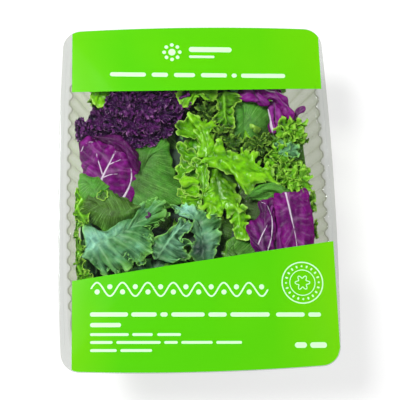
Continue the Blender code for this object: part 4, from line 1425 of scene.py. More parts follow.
# bottom centre: a pale ridge of painted sheen and a blade darkened by painted shadow
hero("frilly", 55.5, [(8, -42), (12, -34), (15.5, -29), (13.5, -24), (17, -19), (12, -14.5), (8.2, -13), (2.6, -9.4),
                      (-3.2, -7.0), (-8.9, -5.2), (-15.8, -6.2), (-12, -10.4), (-6.2, -13.5), (-1.5, -17), (-5.4, -23),
                      (-2.7, -29), (-5.8, -38), (-2, -44)],
     [(3.2, -43), (2.7, -29.1), (0.8, -20.3), (-4.3, -11.8)], 124, zs=57.5, tone=0.2, tints=((-8, -9, 6, 0.75), (8, -28, 5, 0.25)), shades=((-2, -22, 6, 0.6), (0, -36, 9, 0.95), (8, -17, 6, 0.25)), bulge=1.0, curl=40,
     rib=(1.8, 0.8), relief=0.4, step=0.75,
     ruffles=((2.0, 17, 0.1, 1.0, 0.2, 0.2), (1.3, 7, 0.6, 1.2, 0.4, 0.45), (0.8, 3.6, 0.75, 1.2, 0.4, 0.4)))

# ---- left edge frills ---------------------------------------------------------
EDGE = [(-75.0, -3, 19, 16, 0.9, 55.0), (-75.5, -11, 17, 14, 0.8, 54.5), (-78.5, -20, 14, 8, 0.5, 51.5),
        (-78.5, -29, 16, 8, 0.6, 51.5), (-77.5, -38, 13, 9, 0.8, 51.5), (-77.0, -46, 15, 12, 0.5, 51.5),
        (-74.5, -55, 17, 15, 0.6, 51.5)]
for k, (x, y, ln, w, q, z) in enumerate(EDGE):
    loose(curly if k % 2 else yellow, "frilly", (x, y, z), (0.6 * (-1) ** k, 1, 0.2 * (-1) ** k), (-0.25, 0.1, 1), (ln, w), 130 + k,
          tone=q, step=0.6, gap=0.25, curl=50, warp=1.0,
          ruffles=((1.8, 6.5, 0.1, 1.0, 0.5, 0.5), (1.0, 3.2, 0.4, 1.0, 0.4, 0.4)))
# a leaf behind the edge frills, darkened by painted shade
hero("frilly", 45.0, [(-70, -54), (-77, -46), (-78.5, -34), (-79, -20), (-78, -6), (-74, 2), (-68, 0), (-66, -14),
                      (-66, -32), (-66, -48)],
     [(-71, -54), (-73, -36), (-73, -18)], 139, zs=46.0, tone=0.2, spare=0.4, gap=0.4, step=1.6, slim=0.8)
# a chip of radicchio among the frills, darkened by painted shade
hero("radicchio", 58.8, [(-32.6, -16.4), (-33.4, -14.6), (-31.8, -14.0), (-31.6, -12.4), (-30.2, -13.2), (-29.4, -15.0), (-30.8, -15.4)],
     [(-32.2, -15.6), (-31.4, -14.8), (-30.6, -14.2)], 167, zs=59, tone=0.0, step=0.35, bulge=0.3, rib=(0.4, 0.2), warp=0.2,
     spare=0.25, teeth=(0.3, 1.0))

# ---- yellow-green leaf in the middle ----------------------------------------
# the lower lobe, deeper where the arm lies over it and darkened there by the arm's painted shadow
hero("batavia", 56.5, [(10, 24, -8), (8, 12.5, -3), (7.4, 6.5, -1), (3.3, 2.1), (1, -0.9), (1.8, -6.8), (4.4, -10.6),
                       (7.9, -14.5), (10.8, -12.9), (15.2, -14.3), (18.1, -11.6), (19.6, -14.4), (22.4, -13.2),
                       (25.4, -12), (29.8, -10.4), (27.8, -4.5, -1), (25.0, 3.0, -3), (21.5, 10.0, -7), (17, 18, -9)],
     [(14, 23), (13, 11), (14.5, 1.1), (16.4, -7.1)], 140, zs=56.4, tone=0.5, shades=((15, 12, 8, 0.55), (21, 5, 6, 0.45), (26, -3, 4, 0.4)), tints=((13, -6, 7, 0.4),), bulge=2.2, step=0.72, blister=(1.3, 5.0),
     ruffles=((1.6, 22, 0.3, 1.1, 0.2, 0.2), (2.2, 9.0, 0.66, 1.2, 0.4, 0.5), (1.0, 4.5, 0.8, 1.2, 0.4, 0.4)),
     frill=((0, 0.0), (0.12, 0.2), (0.3, 1.0), (0.8, 0.8), (1, 0.2)))
# blades of the same leaf below its frills, a little darkened by painted shade
hero("batavia", 50.5, [(10, -6), (2, -11), (-8, -9), (-11, 0), (-9.5, 9), (-12, 18), (-10.5, 28), (-8, 38), (0, 44),
                       (9, 42), (13, 30), (12, 12)],
     [(11, -8), (3, 6), (0, 20), (1, 34)], 151, zs=52.5, tone=0.15, step=1.3, spare=0.12,
     ruffles=((2.0, 16, 0.3, 1.1, 0.3, 0.3), (1.2, 7, 0.6, 1.2, 0.4, 0.4)))
# two leaves lower down, darkened by painted shade
hero("batavia", 47.0, [(26, 16), (24, 2), (26, -14), (33, -18), (38, -8), (36, 4), (33, 14)],
     [(30, 18), (30, 6), (31, -6)], 152, zs=48.0, tone=0.0, step=1.6, slim=0.8, spare=0.55)
hero("smooth", 47.5, [(48, 2), (46, 18), (50, 34), (58, 46), (68, 46), (73, 32), (73, 16), (70, 4), (60, 0)],
     [(56, 0), (58, 14), (62, 30)], 153, zs=49.5, tone=0.5, step=1.6, slim=0.8, spare=0.25)
# its tail
hero("batavia", 56.8, [(21.4, -8), (20.8, -13.9), (21.6, -18.6), (23.0, -23.1), (24.8, -29.7), (33.3, -31.2),
                       (34.2, -26.2), (31.8, -22.2), (34.0, -17), (33.2, -12), (31.4, -7.4), (26, -5.5)],
     [(26.3, -6.3), (26.8, -13.3), (26.9, -19.2), (28.5, -25.1)], 146, zs=58.6, tone=0.65, step=0.7, bulge=0.6,
     ruffles=((1.4, 10, 0.2, 1.1, 0.3, 0.4), (0.9, 5, 0.6, 1.2, 0.4, 0.4)))
# left frills: curl, upright band, hump, cup and the frill below it
hero("batavia", 57.4, [(2.6, 26), (-2.1, 31.4), (-5.8, 30.5), (-6.1, 33.2), (-8.2, 35.7), (-11.2, 34.8), (-12.4, 32.2),
                       (-11.8, 29.1), (-8.8, 27.5), (-8.1, 23.7), (-5.2, 22.9), (-2.3, 21.1), (1.2, 22.5)],
     [(2.2, 25), (-1.4, 27.0), (-5.1, 27.8), (-8.7, 30.6)], 141, zs=56.2, tone=0.6, step=0.55, bulge=-1.2, curl=20,
     ruffles=((1.0, 9, 0.3, 1.1, 0.3, 0.3), (0.7, 4.5, 0.6, 1.1, 0.4, 0.4)), rib=(1.0, 0.5), warp=0.6)
hero("batavia", 57.2, [(-0.6, 17.6), (-4, 16.0), (-7.3, 14.9), (-9.5, 12.6), (-11.4, 10.4), (-15.0, 11.8), (-12.4, 13.7),
                       (-11.3, 15.7), (-14.0, 18.8), (-10.1, 21.0), (-7.2, 18.2), (-3.2, 19.8), (-0.4, 20.9)],
     [(-0.6, 19.2), (-5.8, 17.2), (-9.5, 16.0), (-12, 16.4)], 144, zs=57.0, tone=0.75, step=0.5, bulge=0.0,
     ruffles=((0.9, 7, 0.2, 1.1, 0.3, 0.3), (0.5, 4, 0.6, 1.1, 0.4, 0.4)), rib=(0.8, 0.4), warp=0.6, curl=30)
hero("batavia", 57.0, [(1.3, 6.6), (-3.8, 6.5), (-8.6, 4.8), (-10.8, 8.3), (-10.5, 10.8), (-6.6, 13.2), (-3, 13.0), (0.9, 10.4)],
     [(2.0, 8.1), (-3, 9.8), (-6.7, 9.9), (-8.6, 8.8)], 147, zs=58.6, tone=0.9, step=0.6, bulge=1.2, curl=0, warp=0.6,
     ruffles=((0.6, 8, 0.3, 1.1, 0.2, 0.2),), teeth=(0.3, 4.0))
hero("batavia", 57.6, [(1.6, -1.2), (-2.6, -0.6), (-6.9, 0.4), (-9.1, 2.3), (-9.4, 5.3), (-7.5, 7.5), (-3.8, 8.1),
                       (0.2, 7.3), (2.0, 3.6)],
     [(2.0, 1.4), (-2.0, 3.2), (-4.6, 4.1), (-6.4, 4.3)], 145, zs=54.6, tone=0.9, step=0.55, bulge=-1.0, curl=10,
     ruffles=((0.9, 8, 0.3, 1.1, 0.3, 0.3), (0.5, 4, 0.6, 1.1, 0.4, 0.4)), rib=(0.8, 0.4), warp=0.5)
hero("batavia", 56.2, [(3.6, -0.2), (2.4, -7.2), (0.1, -9.2), (-6.3, -7.1), (-10.5, -4.2), (-8.4, -0.5), (-12.6, 0.3),
                       (-12.5, 4.1), (-9, 3.1), (-6.2, 0.6), (-1.8, -0.5), (1.1, 1.4)],
     [(2.9, -2.0), (-1.9, -2.9), (-6.2, -2.6), (-9.8, -1.1)], 148, zs=56.0, tone=0.9, step=0.55, bulge=-1.2,
     ruffles=((1.3, 7, 0.2, 1.1, 0.4, 0.4), (0.8, 3.8, 0.5, 1.1, 0.4, 0.4)), rib=(1.0, 0.4), warp=0.6, curl=30)
hero("batavia", 57.8, [(4.2, -1.2), (1.4, 5.1), (1.2, 8.0), (0.1, 10.6), (1.2, 13.4), (-1.2, 17.2), (-3.5, 20.3),
                       (-2.1, 24.3), (1, 25.2), (5, 22.1), (7.9, 19.9), (7.6, 14.1), (8.2, 7.3), (5.8, 1.8)],
     [(4.6, 1.6), (4.9, 7.3), (4.6, 14.1), (2.3, 19.4)], 149, zs=56.6, tone=0.8, step=0.55, bulge=-0.6, curl=20,
     ruffles=((1.2, 7.5, 0.2, 1.1, 0.3, 0.4), (0.7, 4, 0.5, 1.1, 0.4, 0.4)), rib=(1.0, 0.5), warp=0.6)
# the cup at the top left, its rim near the film, and the ridge beside it
hero("batavia", 58.4, [(3.6, 33.0, -3), (1.4, 36.8, -1), (1.3, 39.6), (-1.9, 37.7), (-4.8, 38.5), (-7.4, 40.1), (-11.6, 40.2),
                       (-12.5, 42.9), (-11, 44.8), (-12.6, 47.8), (-10.5, 50.7), (-6.8, 50.2), (-5.2, 53.3), (-2.6, 55.6),
                       (1.0, 53.6, -1), (4.2, 48.9, -2), (6.0, 43.4, -3), (6.8, 38, -3)],
     [(5.2, 35.7), (2.2, 41.5), (-2.0, 43.7), (-6.5, 45.2)], 142, zs=55.2, tone=0.75, step=0.6, bulge=-1.4, curl=0,
     ruffles=((0.8, 12, 0.3, 1.1, 0.2, 0.2), (0.8, 6.5, 0.6, 1.1, 0.4, 0.4)), rib=(1.2, 0.5), warp=0.6)
hero("batavia", 56.4, [(1.6, 25.5), (1.4, 33.4), (1.9, 38.1), (1.0, 42.7), (0.4, 46.6), (-2.4, 50.2), (-3.9, 53.4),
                       (-0.7, 56.6), (1.6, 53.0), (4.4, 51.2), (8.8, 50.3), (11.8, 51.2), (15.0, 46.8), (11.8, 44.4),
                       (11.5, 41), (13.8, 37.1), (13.6, 32.8), (12.1, 28.6), (8.3, 25.6)],
     [(6.8, 25.0), (7.8, 31), (6.6, 38), (3.4, 45)], 150, zs=59.0, tone=0.75, step=0.65, bulge=1.8, curl=20, blister=(1.1, 7.0),
     ruffles=((1.2, 14, 0.35, 1.1, 0.2, 0.3), (1.2, 6.5, 0.7, 1.2, 0.4, 0.5)), rib=(2.0, 0.8), warp=1.0)
# the arm
hero("batavia", 57.4, [(1.8, 20.5), (3.8, 22.2), (5.4, 25.0), (9.2, 29.4), (13.8, 33.2), (15.7, 36.8), (18.2, 33.7),
                       (19.9, 29.8), (23.9, 27.7), (27.6, 28.3), (29.4, 30.4), (31.3, 33.0), (33.2, 30.0), (36.5, 27.0),
                       (38.9, 29.0), (40.3, 27.0), (39.8, 23.4), (43.6, 21.2), (43.2, 18.4), (47.3, 18.6), (50.9, 15.6),
                       (50.2, 12.9), (53.8, 10.2), (53.6, 6.4), (47.5, 6.5), (40.5, 5.2), (34.4, -1.9), (31.2, 1.8),
                       (27.6, 8.4), (24.6, 12.6), (20.2, 14.6), (14.5, 18.0), (7.8, 18.7)],
     [(3.5, 21), (14, 24), (26, 20.5), (38, 15.5), (45, 12.5)], 143, zs=59.0, tone=0.7, bulge=2.0, curl=14, step=0.72, blister=(1.3, 7.5),
     ruffles=((1.4, 20, 0.3, 1.1, 0.2, 0.2), (1.9, 8.5, 0.64, 1.2, 0.4, 0.5), (0.7, 4.2, 0.78, 1.2, 0.4, 0.4)),
     frill=((0, 0.6), (0.66, 1.0), (0.72, 0.3), (1, 0.3)))

# ---- lollo rosso, top left ----------------------------------------------------
LOLLO = [(-70, 46, 53, 195), (-66, 42, 53, 235), (-58, 43, 54, 255), (-49, 42, 54, 262), (-40, 41, 54, 268),
         (-31, 43, 54, 272), (-23, 50, 54, 290), (-17, 58, 53.5, 318), (-60, 52, 56, 200), (-52, 51, 56, 240),
         (-41, 51, 56.5, 262), (-31, 51, 56.5, 275), (-23, 58, 56.5, 296), (-49, 62, 57, 205), (-43, 61, 58, 240),
         (-33, 61, 58, 268), (-24, 67, 58, 292), (-12, 66, 56, 310), (-46, 71, 58, 215), (-34, 72, 58, 262), (-20, 76, 57, 290)]
for k, (x, y, z, d) in enumerate(LOLLO):
    a = math.radians(d)
    loose(purple, "lollo", (x, y, z - DROP["lollo"]), (math.cos(a), math.sin(a), 0.12), (0.1, -0.15, 1), (21, 18), 550 + k,
          tone=0.2 + 0.4 * (k % 3) / 2, step=0.53)
# dark threads of its margin against the wall
for k, (x, y, d) in enumerate([(-77, 41, 200), (-77.5, 45, 170), (-76.5, 48, 200), (-75.0, 51, 160)]):
    a = math.radians(d)
    loose(purple, "lollo", (x, y, 52), (math.cos(a), math.sin(a), 0.1), (0, -0.1, 1), (8, 5), 590 + k, tone=0.1, step=0.6, gap=0.3)

hero("batavia", 60.5, [(-66, 80), (-68, 72), (-69.5, 67.5), (-67.5, 63), (-64, 60.0), (-60, 62), (-57, 68), (-55, 80)],
     [(-60, 84), (-61.5, 74), (-64, 65.5)], 168, zs=59.5, tone=0.75, step=0.7, ruffles=((1.0, 9, 0.3, 1.1, 0.3, 0.3), (0.6, 4.5, 0.6, 1.1, 0.4, 0.4)), warp=0.8)

# ---- radicchio, right ---------------------------------------------------------
# patches of painted shadow darken parts of these leaves
face = hero("radicchio", 56.5, [(58, 0.4), (54, 0), (50.2, -1.2), (50.2, -12), (52.4, -24), (56, -38), (60, -52), (67, -58),
                         (73, -50), (75.5, -37), (75.4, -24), (74.8, -13), (73.2, -5), (71.4, 2), (65, 0.4), (60.5, -0.2)],
     [(59.4, -0.2), (60.1, -12), (61.9, -22), (64, -40)], 160, zs=57.0, bulge=0.8, tone=0.6, rib=(1.6, 0.9),
     pleats=((0.6, 13.0, -6), (0.18, 4.2, -3)), step=0.92, warp=0.8, curl=4,
                         shades=((68, -8, 5, 0.3), (72, -22, 5, 0.35), (65.5, -26, 4, 0.3)))
rib_on(red_leaves, face, [(57.9, 0.0), (58.7, -5.3), (59.6, -10), (60.6, -16), (61.6, -22)], 1.5, 0.9, 6)
rib_on(red_leaves, face, [(61.5, -21), (62.6, -28), (63.6, -38), (65, -48)], 0.5, 0.4, 7)
face = hero("radicchio", 54.5, [(38, -40), (31.4, -24), (34, -18.5), (40.5, -15), (39.5, -8), (40.8, -5.0), (45, -4.2), (49.6, -3.4),
                         (50.6, -12), (50.6, -25), (48, -37), (46, -48)],
     [(42, -48), (41, -32), (43, -22), (44, -13)], 161, zs=56.4, bulge=0.8, tone=0.15, shades=((44, -12, 6, 0.45), (48, -8, 5, 0.4)), veins=3, warp=0.8, step=0.8,
     pleats=((0.7, 6.0, 20),))
rib_on(red_leaves, face, [(38.5, -34), (41, -28.5), (45.4, -20.5)], 1.1, 0.6, 8)
rib_on(red_leaves, face, [(44, -40), (47.6, -28), (48.2, -18), (46.6, -11), (44.6, -7.6), (41.6, -5.6)], 0.9, 0.8, 9)
hero("radicchio", 51.0, [(52, -60), (58, -40), (56, -22), (54, -6), (47, -3), (44, -10), (45, -24), (42, -40), (44, -56)],
     [(48, -62), (50, -40), (50, -24), (50, -10)], 162, zs=52, tone=0.0, step=1.4, slim=0.8)
# bits of dark green against the right wall, darkened further by painted shade
for k, (x, y, q) in enumerate([(75.0, -3.5, 60), (77.0, -5.5, 100), (75.6, -9.5, 80), (76.5, -22.5, 70), (76.5, -27, 110)]):
    a = math.radians(q)
    loose(curly, "endive", (x, y, 50.5), (math.cos(a), math.sin(a), 0.1), (0.3, 0, 1), (7, 4.5), 580 + k, tone=0.05, step=0.5, gap=0.4, spare=0.25)

# ---- radicchio strips, top right ----------------------------------------------
face = hero("radicchio", 57.0, [(44, 84), (40, 72), (42, 66), (50, 63), (56, 57), (62, 50.5), (66, 50), (65.5, 56), (61, 66),
                         (55, 76), (50, 84)],
     [(47, 86), (49, 73), (56, 65), (63, 54)], 163, zs=58.5, bulge=1.2, tone=0.5, pleats=((0.6, 4.5, 50),), rib=(1.2, 0.6))
rib_on(red_leaves, face, [(43, 76), (47.5, 70.5), (53, 68.5), (58, 68.2), (61.5, 63)], 1.5, 0.5, 10)
hero("radicchio", 55.5, [(36, 84), (30, 74), (32, 66), (38, 61), (47, 60), (50, 63), (46, 70), (44, 82)],
     [(40, 86), (39, 74), (41, 67), (44, 63)], 164, zs=56.5, tone=0.3, blister=(1.0, 6.0))
hero("radicchio", 54.5, [(64.0, 48.5), (66, 52.5), (69, 57.4), (73, 57.5), (72.5, 54.5), (69.6, 52.5), (67.5, 48.5)],
     [(64.5, 48), (67.8, 52.5), (71.2, 56)], 165, zs=55.4, tone=0.1, step=0.5, bulge=0.4, rib=(0.5, 0.3))
face = hero("radicchio", 53.0, [(50, 64), (48.5, 56), (49.5, 46), (52, 40), (56, 44), (60, 47), (60.5, 54), (58, 62)],
     [(54, 65), (53.4, 55), (53.4, 46)], 166, zs=54.0, tone=0.6, rib=(2.0, 1.0), pleats=((0.7, 4.5, 5),))
rib_on(red_leaves, face, [(49.6, 58), (50.6, 51), (50.9, 45), (52.6, 38.5)], 2.2, 2.6, 13)
rib_on(red_leaves, face, [(60, 52), (57.8, 49.5), (56, 45.5)], 1.6, 0.8, 14)

# ---- frilly leaves, top centre --------------------------------------------------
hero("frilly", 58.5, [(-12, 80), (-13, 69), (-10.5, 64), (-8, 59.5), (-4.5, 58.5), (-1.5, 62), (2.5, 64), (7.5, 66.5),
                      (13, 62), (17.5, 67), (18, 76), (10, 86)],
     [(4, 88), (3.5, 80), (2.0, 72), (-2, 66)], 170, zs=60.0, tone=1.0, build=curly, curl=24, bulge=0.6, step=0.8, tints=((0, 66, 9, 0.5), (10, 68, 7, 0.4)),
     ruffles=((2.0, 12, 0.2, 1.1, 0.3, 0.4), (1.6, 6, 0.5, 1.1, 0.4, 0.5)))
hero("frilly", 59.5, [(20, 72), (14, 66), (16, 58), (13.5, 52), (17, 46), (22, 44), (26, 45), (27, 51), (26.5, 55), (27, 61),
                      (33, 64), (28, 70)],
     [(20, 70), (20, 62), (20, 54), (21, 49)], 171, zs=60.0, tone=0.5, build=curly, step=0.6, curl=20, tints=((23, 54, 5, 0.45),),
     ruffles=((1.8, 9, 0.2, 1.1, 0.4, 0.5), (1.0, 4.2, 0.5, 1.1, 0.4, 0.4)))
# a leaf beside them, a little darkened by painted shade
hero("batavia", 52.0, [(26, 48), (24, 42), (27, 35), (33, 34), (37, 40), (35, 47), (31, 51)],
     [(29, 50), (29.5, 44), (30, 39)], 172, zs=52.5, tone=0.2, step=0.7, spare=0.15)

# ---- curly endive ---------------------------------------------------------------


def tuft(centre, radius, count, seed, z0, z1, size=(9.0, 15.0), tone=(0.3, 0.8), build=None, spare=0.0):
    """A tuft of small, tightly ruffled leaflets round a centre."""
    rng = np.random.RandomState(seed)
    for i in range(count):
        a = i * 2.39996 + rng.uniform(-0.3, 0.3)
        r = radius * math.sqrt((i + 0.5) / count)
        x, y = centre[0] + r * math.cos(a), centre[1] + r * math.sin(a)
        z = z1 - (z1 - z0) * (r / radius) ** 2 + rng.uniform(-1, 1)
        lean = 0.9 * r / radius + 0.2
        n = (math.cos(a) * lean * 0.5, math.sin(a) * lean * 0.5, 1.0)
        d = (math.cos(a + rng.uniform(-0.6, 0.6)), math.sin(a + rng.uniform(-0.6, 0.6)), -0.35 * lean)
        ln = rng.uniform(*size)
        loose(build or curly, "endive", (x, y, z - DROP["endive"] * 0.5), d, n, (ln, ln * rng.uniform(0.7, 0.95)), seed * 17 + i,
              tone=rng.uniform(*tone), step=0.62, slim=0.95, spare=spare)


tuft((63.0, 41), 9.0, 14, 180, 51, 58.5, size=(9.0, 13.0), tone=(0.5, 1.0))
tuft((57, 23.5), 6.0, 8, 181, 50, 56.5, tone=(0.5, 0.9))
tuft((59.5, 28), 4.5, 4, 187, 50, 57.0, tone=(0.1, 0.4), build=frilly)
tuft((65.8, 9), 6.0, 9, 182, 51, 57.5, tone=(0.7, 1.1))
tuft((57.5, 13), 6.0, 7, 185, 47, 53, tone=(0.1, 0.5), size=(8.0, 11.0))
# the darker tufts from here on are darkened by painted shade
tuft((42.5, 33), 7.5, 11, 183, 50, 56.5, size=(6.5, 9.5), tone=(0.0, 0.3), spare=0.6)
tuft((23.5, 34.5), 4.5, 5, 186, 50, 55, size=(8.0, 11.0), tone=(0.0, 0.3), spare=0.6)
tuft((15.0, 44), 4.5, 6, 188, 50, 55.5, size=(6.5, 9.0), tone=(0.1, 0.5), spare=0.5)
tuft((7, 57), 6.5, 8, 184, 48, 54, size=(6.5, 9.5), tone=(0.0, 0.15), spare=0.75)


# ---- leaves that fill the heap below, against the walls and under the print ------
FILL = ("smooth", "frilly", "batavia", "radicchio", "frilly", "smooth", "lollo", "frilly", "batavia", "smooth")
CALM = dict(smooth={}, radicchio={}, frilly={}, batavia={}, lollo=dict(step=1.15))


def filler(kind, place, along, normal, size, seed, step=1.6, **over):
    opts = dict(step=min(step, 1.45) if kind == "lollo" else step, slim=0.8)
    opts.update(over)
    if kind == "lollo":
        opts["ruffles"] = ((2.4, 9, 0.1, 1.0, 0.5, 0.4), (1.7, 4.6, 0.25, 0.9, 0.5, 0.5))
    elif kind in ("frilly", "batavia"):
        opts["ruffles"] = KINDS[kind]["ruffles"][:3]
    loose(INTO[kind], kind, place, along, normal, size, seed, **opts)


rng = np.random.RandomState(77)
k = 0
# long sides
for sx in (-1, 1):
    for i, y in enumerate(np.linspace(-86, 86, 8)):
        kind = FILL[(k * 7 + 3) % 10]
        up = 1 if rng.rand() < 0.65 else -1
        z = 24 + rng.uniform(-2, 4)
        ln, w = rng.uniform(48, 56), rng.uniform(34, 42)
        if kind == "lollo":
            ln, w = 44, 34
        # the heap stands a little off the wall towards the upper right and left
        off = 20.0 if sx > 0 and y > 55 else 10.0 if sx > 0 and y > 0 else 7.0 if sx < 0 and y > 50 else 1.5 if sx > 0 else 3.0 if y > -5 else 1.0
        filler(kind, (sx * (70.5 - off + rng.uniform(-1, 1.5)), y + rng.uniform(-3, 3), z - (3 if off > 4 else 0)),
               (sx * 0.16 * up, rng.uniform(-0.7, 0.7), up), (sx, rng.uniform(-0.25, 0.25), -0.1),
               (ln - (6 if off > 4 else 0), w - (8 if off > 15 else 0)), 300 + k, bend=rng.uniform(-3, 1), cup=rng.uniform(-4, -1),
               tone=rng.uniform(0.2, 0.9), gap=max(0.9, off - 1.0))
        k += 1
# short sides
for sy in (-1, 1):
    for i, x in enumerate(np.linspace(-58, 58, 6)):
        kind = FILL[(k * 7 + 3) % 10]
        up = 1 if rng.rand() < 0.65 else -1
        z = 24 + rng.uniform(-2, 4)
        ln, w = rng.uniform(48, 56), rng.uniform(34, 42)
        if kind == "lollo":
            ln, w = 44, 34
        filler(kind, (x + rng.uniform(-3, 3), sy * (94.5 + rng.uniform(-1, 1.5)), z),
               (rng.uniform(-0.7, 0.7), sy * 0.16 * up, up), (rng.uniform(-0.25, 0.25), sy, -0.1),
               (ln, w), 300 + k, bend=rng.uniform(-3, 1), cup=rng.uniform(-4, -1), tone=rng.uniform(0.2, 0.9))
        k += 1
# corners
for sx in (-1, 1):
    for sy in (-1, 1):
        kind = ("frilly", "batavia", "radicchio", "smooth")[(sx + 1) + (sy + 1) // 2]
        if sx > 0 and sy > 0:
            k += 1
            continue
        filler(kind, (sx * 62, sy * 86, 23), (0.2 * sx, 0.1, 1), (sx, sy, -0.1), (44, 36), 340 + k,
               cup=-5, tone=rng.uniform(0.3, 0.8))
        k += 1
# under the printed panels
for i, (x, y) in enumerate([(-56, 88), (-30, 92), (-4, 86), (24, 90), (44, 90), (56, 98),
                            (-60, -74), (-36, -72), (-12, -66), (14, -70), (38, -62), (60, -72),
                            (-48, -94), (-18, -92), (12, -94), (42, -92)]):
    kind = FILL[(i * 3 + 1) % 10]
    a = rng.uniform(0, 6.28)
    filler(kind, (x, y, 49 + rng.uniform(-2, 2) - DROP[kind] * 0.5), (math.cos(a), math.sin(a), 0), (rng.uniform(-0.15, 0.15), rng.uniform(-0.15, 0.15), 1),
           (46 if kind != "lollo" else 34, 36 if kind != "lollo" else 28), 360 + i, tone=rng.uniform(0.2, 0.9), step=2.0)
# under the leaves that show, darkened by painted shade
for i, (x, y) in enumerate([(-56, 42), (-30, 46), (-8, 44), (18, 44), (44, 46), (62, 30), (-60, 14), (-30, 8),
                            (2, 10), (30, 8), (60, 4), (-58, -22), (-28, -26), (4, -28), (34, -24), (60, -28)]):
    kind = ("smooth", "frilly", "smooth", "batavia", "smooth")[i % 5]
    a = rng.uniform(0, 6.28)
    filler(kind, (x, y, 42 + rng.uniform(-2, 1.5)), (math.cos(a), math.sin(a), 0), (rng.uniform(-0.2, 0.2), rng.uniform(-0.2, 0.2), 1),
           (48, 38), 380 + i, tone=rng.uniform(0.0, 0.35), step=2.3, spare=0.25, gap=5.0)
# on the base
for i, (x, y) in enumerate([(-44, -74), (0, -78), (44, -72), (-46, -34), (-4, -36), (42, -30), (-44, 8), (0, 4),
                            (44, 12), (-42, 48), (2, 46), (34, 52), (-40, 82), (4, 82), (28, 84)]):
    kind = FILL[(i * 3 + 2) % 10]
    a = rng.uniform(0, 6.28)
    filler(kind, (x, y, 6.5), (math.cos(a), math.sin(a), 0), (rng.uniform(-0.1, 0.1), rng.uniform(-0.1, 0.1), -1),
           (50 if kind != "lollo" else 38, 42 if kind != "lollo" else 32), 400 + i, tone=rng.uniform(0.2, 0.9), step=2.1)


# ----------------------------------------------------------------------------
# The pack
# ----------------------------------------------------------------------------
# the olive cast of the tray's grazing tints is a painted reflection of the green leaves
tray = make_tray(clear_plastic("clear_tray", (0.872, 0.878, 0.852), (0.70, 0.72, 0.62), 0.42, 0.06, 1.2, rim=(0.56, 0.57, 0.50),
                         seal=(0.84, 0.845, 0.835)))
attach(tray, "root")
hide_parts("tray")

film = make_film(clear_plastic("clear_film", (0.985, 0.99, 0.985), (0.86, 0.88, 0.86), 0.3, 0.12, 3.0))
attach(film, "root")
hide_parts("lid_film")

# printed panels
ink = Build()
panel(ink, -80.5, 84.5, lambda x: 68.8 + 0.0 * x, lambda x: 200.0 + 0.0 * x, nx=110, ny=30)


def cut_line(x):
    a = np.interp(x, [-79.7, -12.1, 85.4], [-55.8, -46.6, -34.0])
    return a


panel(ink, -79.7, 86.0, lambda x: -200.0 + 0.0 * x, cut_line, nx=110, ny=44)
green = ink.make("printed_green", print_material(), sharp=60)
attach(green, "root")
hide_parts("lid_film")

marks = Build()


SLOPE = -0.0245                      # the lines of print run slightly down to the right


def words(y, height, spans):
    """A line of short bars; y is its height at x = 0."""
    for x0, x1 in spans:
        bar(marks, x0, x1, y + SLOPE * x0, height, tilt=SLOPE)


# a ring of dots and two short bars at the top
for k in range(8):
    t = k * math.pi / 4
    disc(marks, -14.3 + 5.2 * math.cos(t), 96.0 + 5.2 * math.sin(t), 1.25)
disc(marks, -14.3, 96.0, 2.4)
bar(marks, -3.0, 25.6, 97.8, 3.6, tilt=SLOPE)
bar(marks, -3.0, 14.0, 92.6, 1.8, tilt=SLOPE)
# line on the strap
words(79.4, 2.9, ((-55.5, -31.8), (-28.0, -17.2), (-13.3, 0.7), (4.6, 21.9), (25.0, 28.4), (31.2, 60.6)))
# wave garland with dots in place of the title
w = np.linspace(-68.0, 42.7, 320)
ribbon(marks, np.stack([w, -63.0 + SLOPE * w + 4.2 * np.sin((w + 68) / 15.8 * 2 * math.pi)], 1), 1.0)
for k in range(7):
    for part, up in ((0.25, -1), (0.75, 1)):
        x = -68 + 15.8 * (k + part)
        disc(marks, x, -63.0 + SLOPE * x + 1.6 * up, 1.6)
# lines of bars below it
words(-78.6, 2.6, ((-68.5, -45.0), (-43.0, -27.3), (-25.0, -20.5), (-18.2, 2.5), (4.8, 16.2), (18.5, 43.0),
                   (47.0, 64.9), (67.2, 75.2)))
words(-85.1, 2.6, ((-68.4, -49.4),))
words(-90.9, 1.7, ((-68.4, -44.7), (-42.5, -29.9), (-27.1, -12.5)))
words(-95.7, 1.7, ((-68.4, -54.6), (-52.3, -25.1), (-22.9, -14.6), (-12.4, 6.9), (9.2, 25.1)))
words(-100.6, 1.7, ((-68.4, -52.1), (-49.9, -30.5)))
words(-97.4, 3.4, ((57.9, 65.3), (67.4, 77.8)))
# round badge: two rings, a band of short strokes, and a plain rosette
bx, by = 64.6, -60.2
ribbon(marks, circle(bx, by, 12.9), 0.75, closed=True)
ribbon(marks, circle(bx, by, 8.0), 0.5, closed=True)
for k in range(20):
    t = 2 * math.pi * k / 20
    d = np.array([math.cos(t), math.sin(t)])
    if k % 5 == 0:
        disc(marks, bx + 10.4 * d[0], by + 10.4 * d[1], 0.6, n=20)
    else:
        q = np.array([bx, by]) + np.outer(np.linspace(9.5, 11.3, 7), d)
        ribbon(marks, q, 1.1)
u = np.linspace(0, 2 * math.pi, 160, endpoint=False)
rad = 3.7 + 1.0 * np.cos(6 * u)
ribbon(marks, np.stack([bx + rad * np.cos(u), by + rad * np.sin(u)], 1), 0.5, closed=True)
green_marks = marks.make("printed_marks", mark_material(), sharp=60)
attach(green_marks, "root")
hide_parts("lid_film")

core = make_core(core_material())
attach(core, "root")
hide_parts("salad")

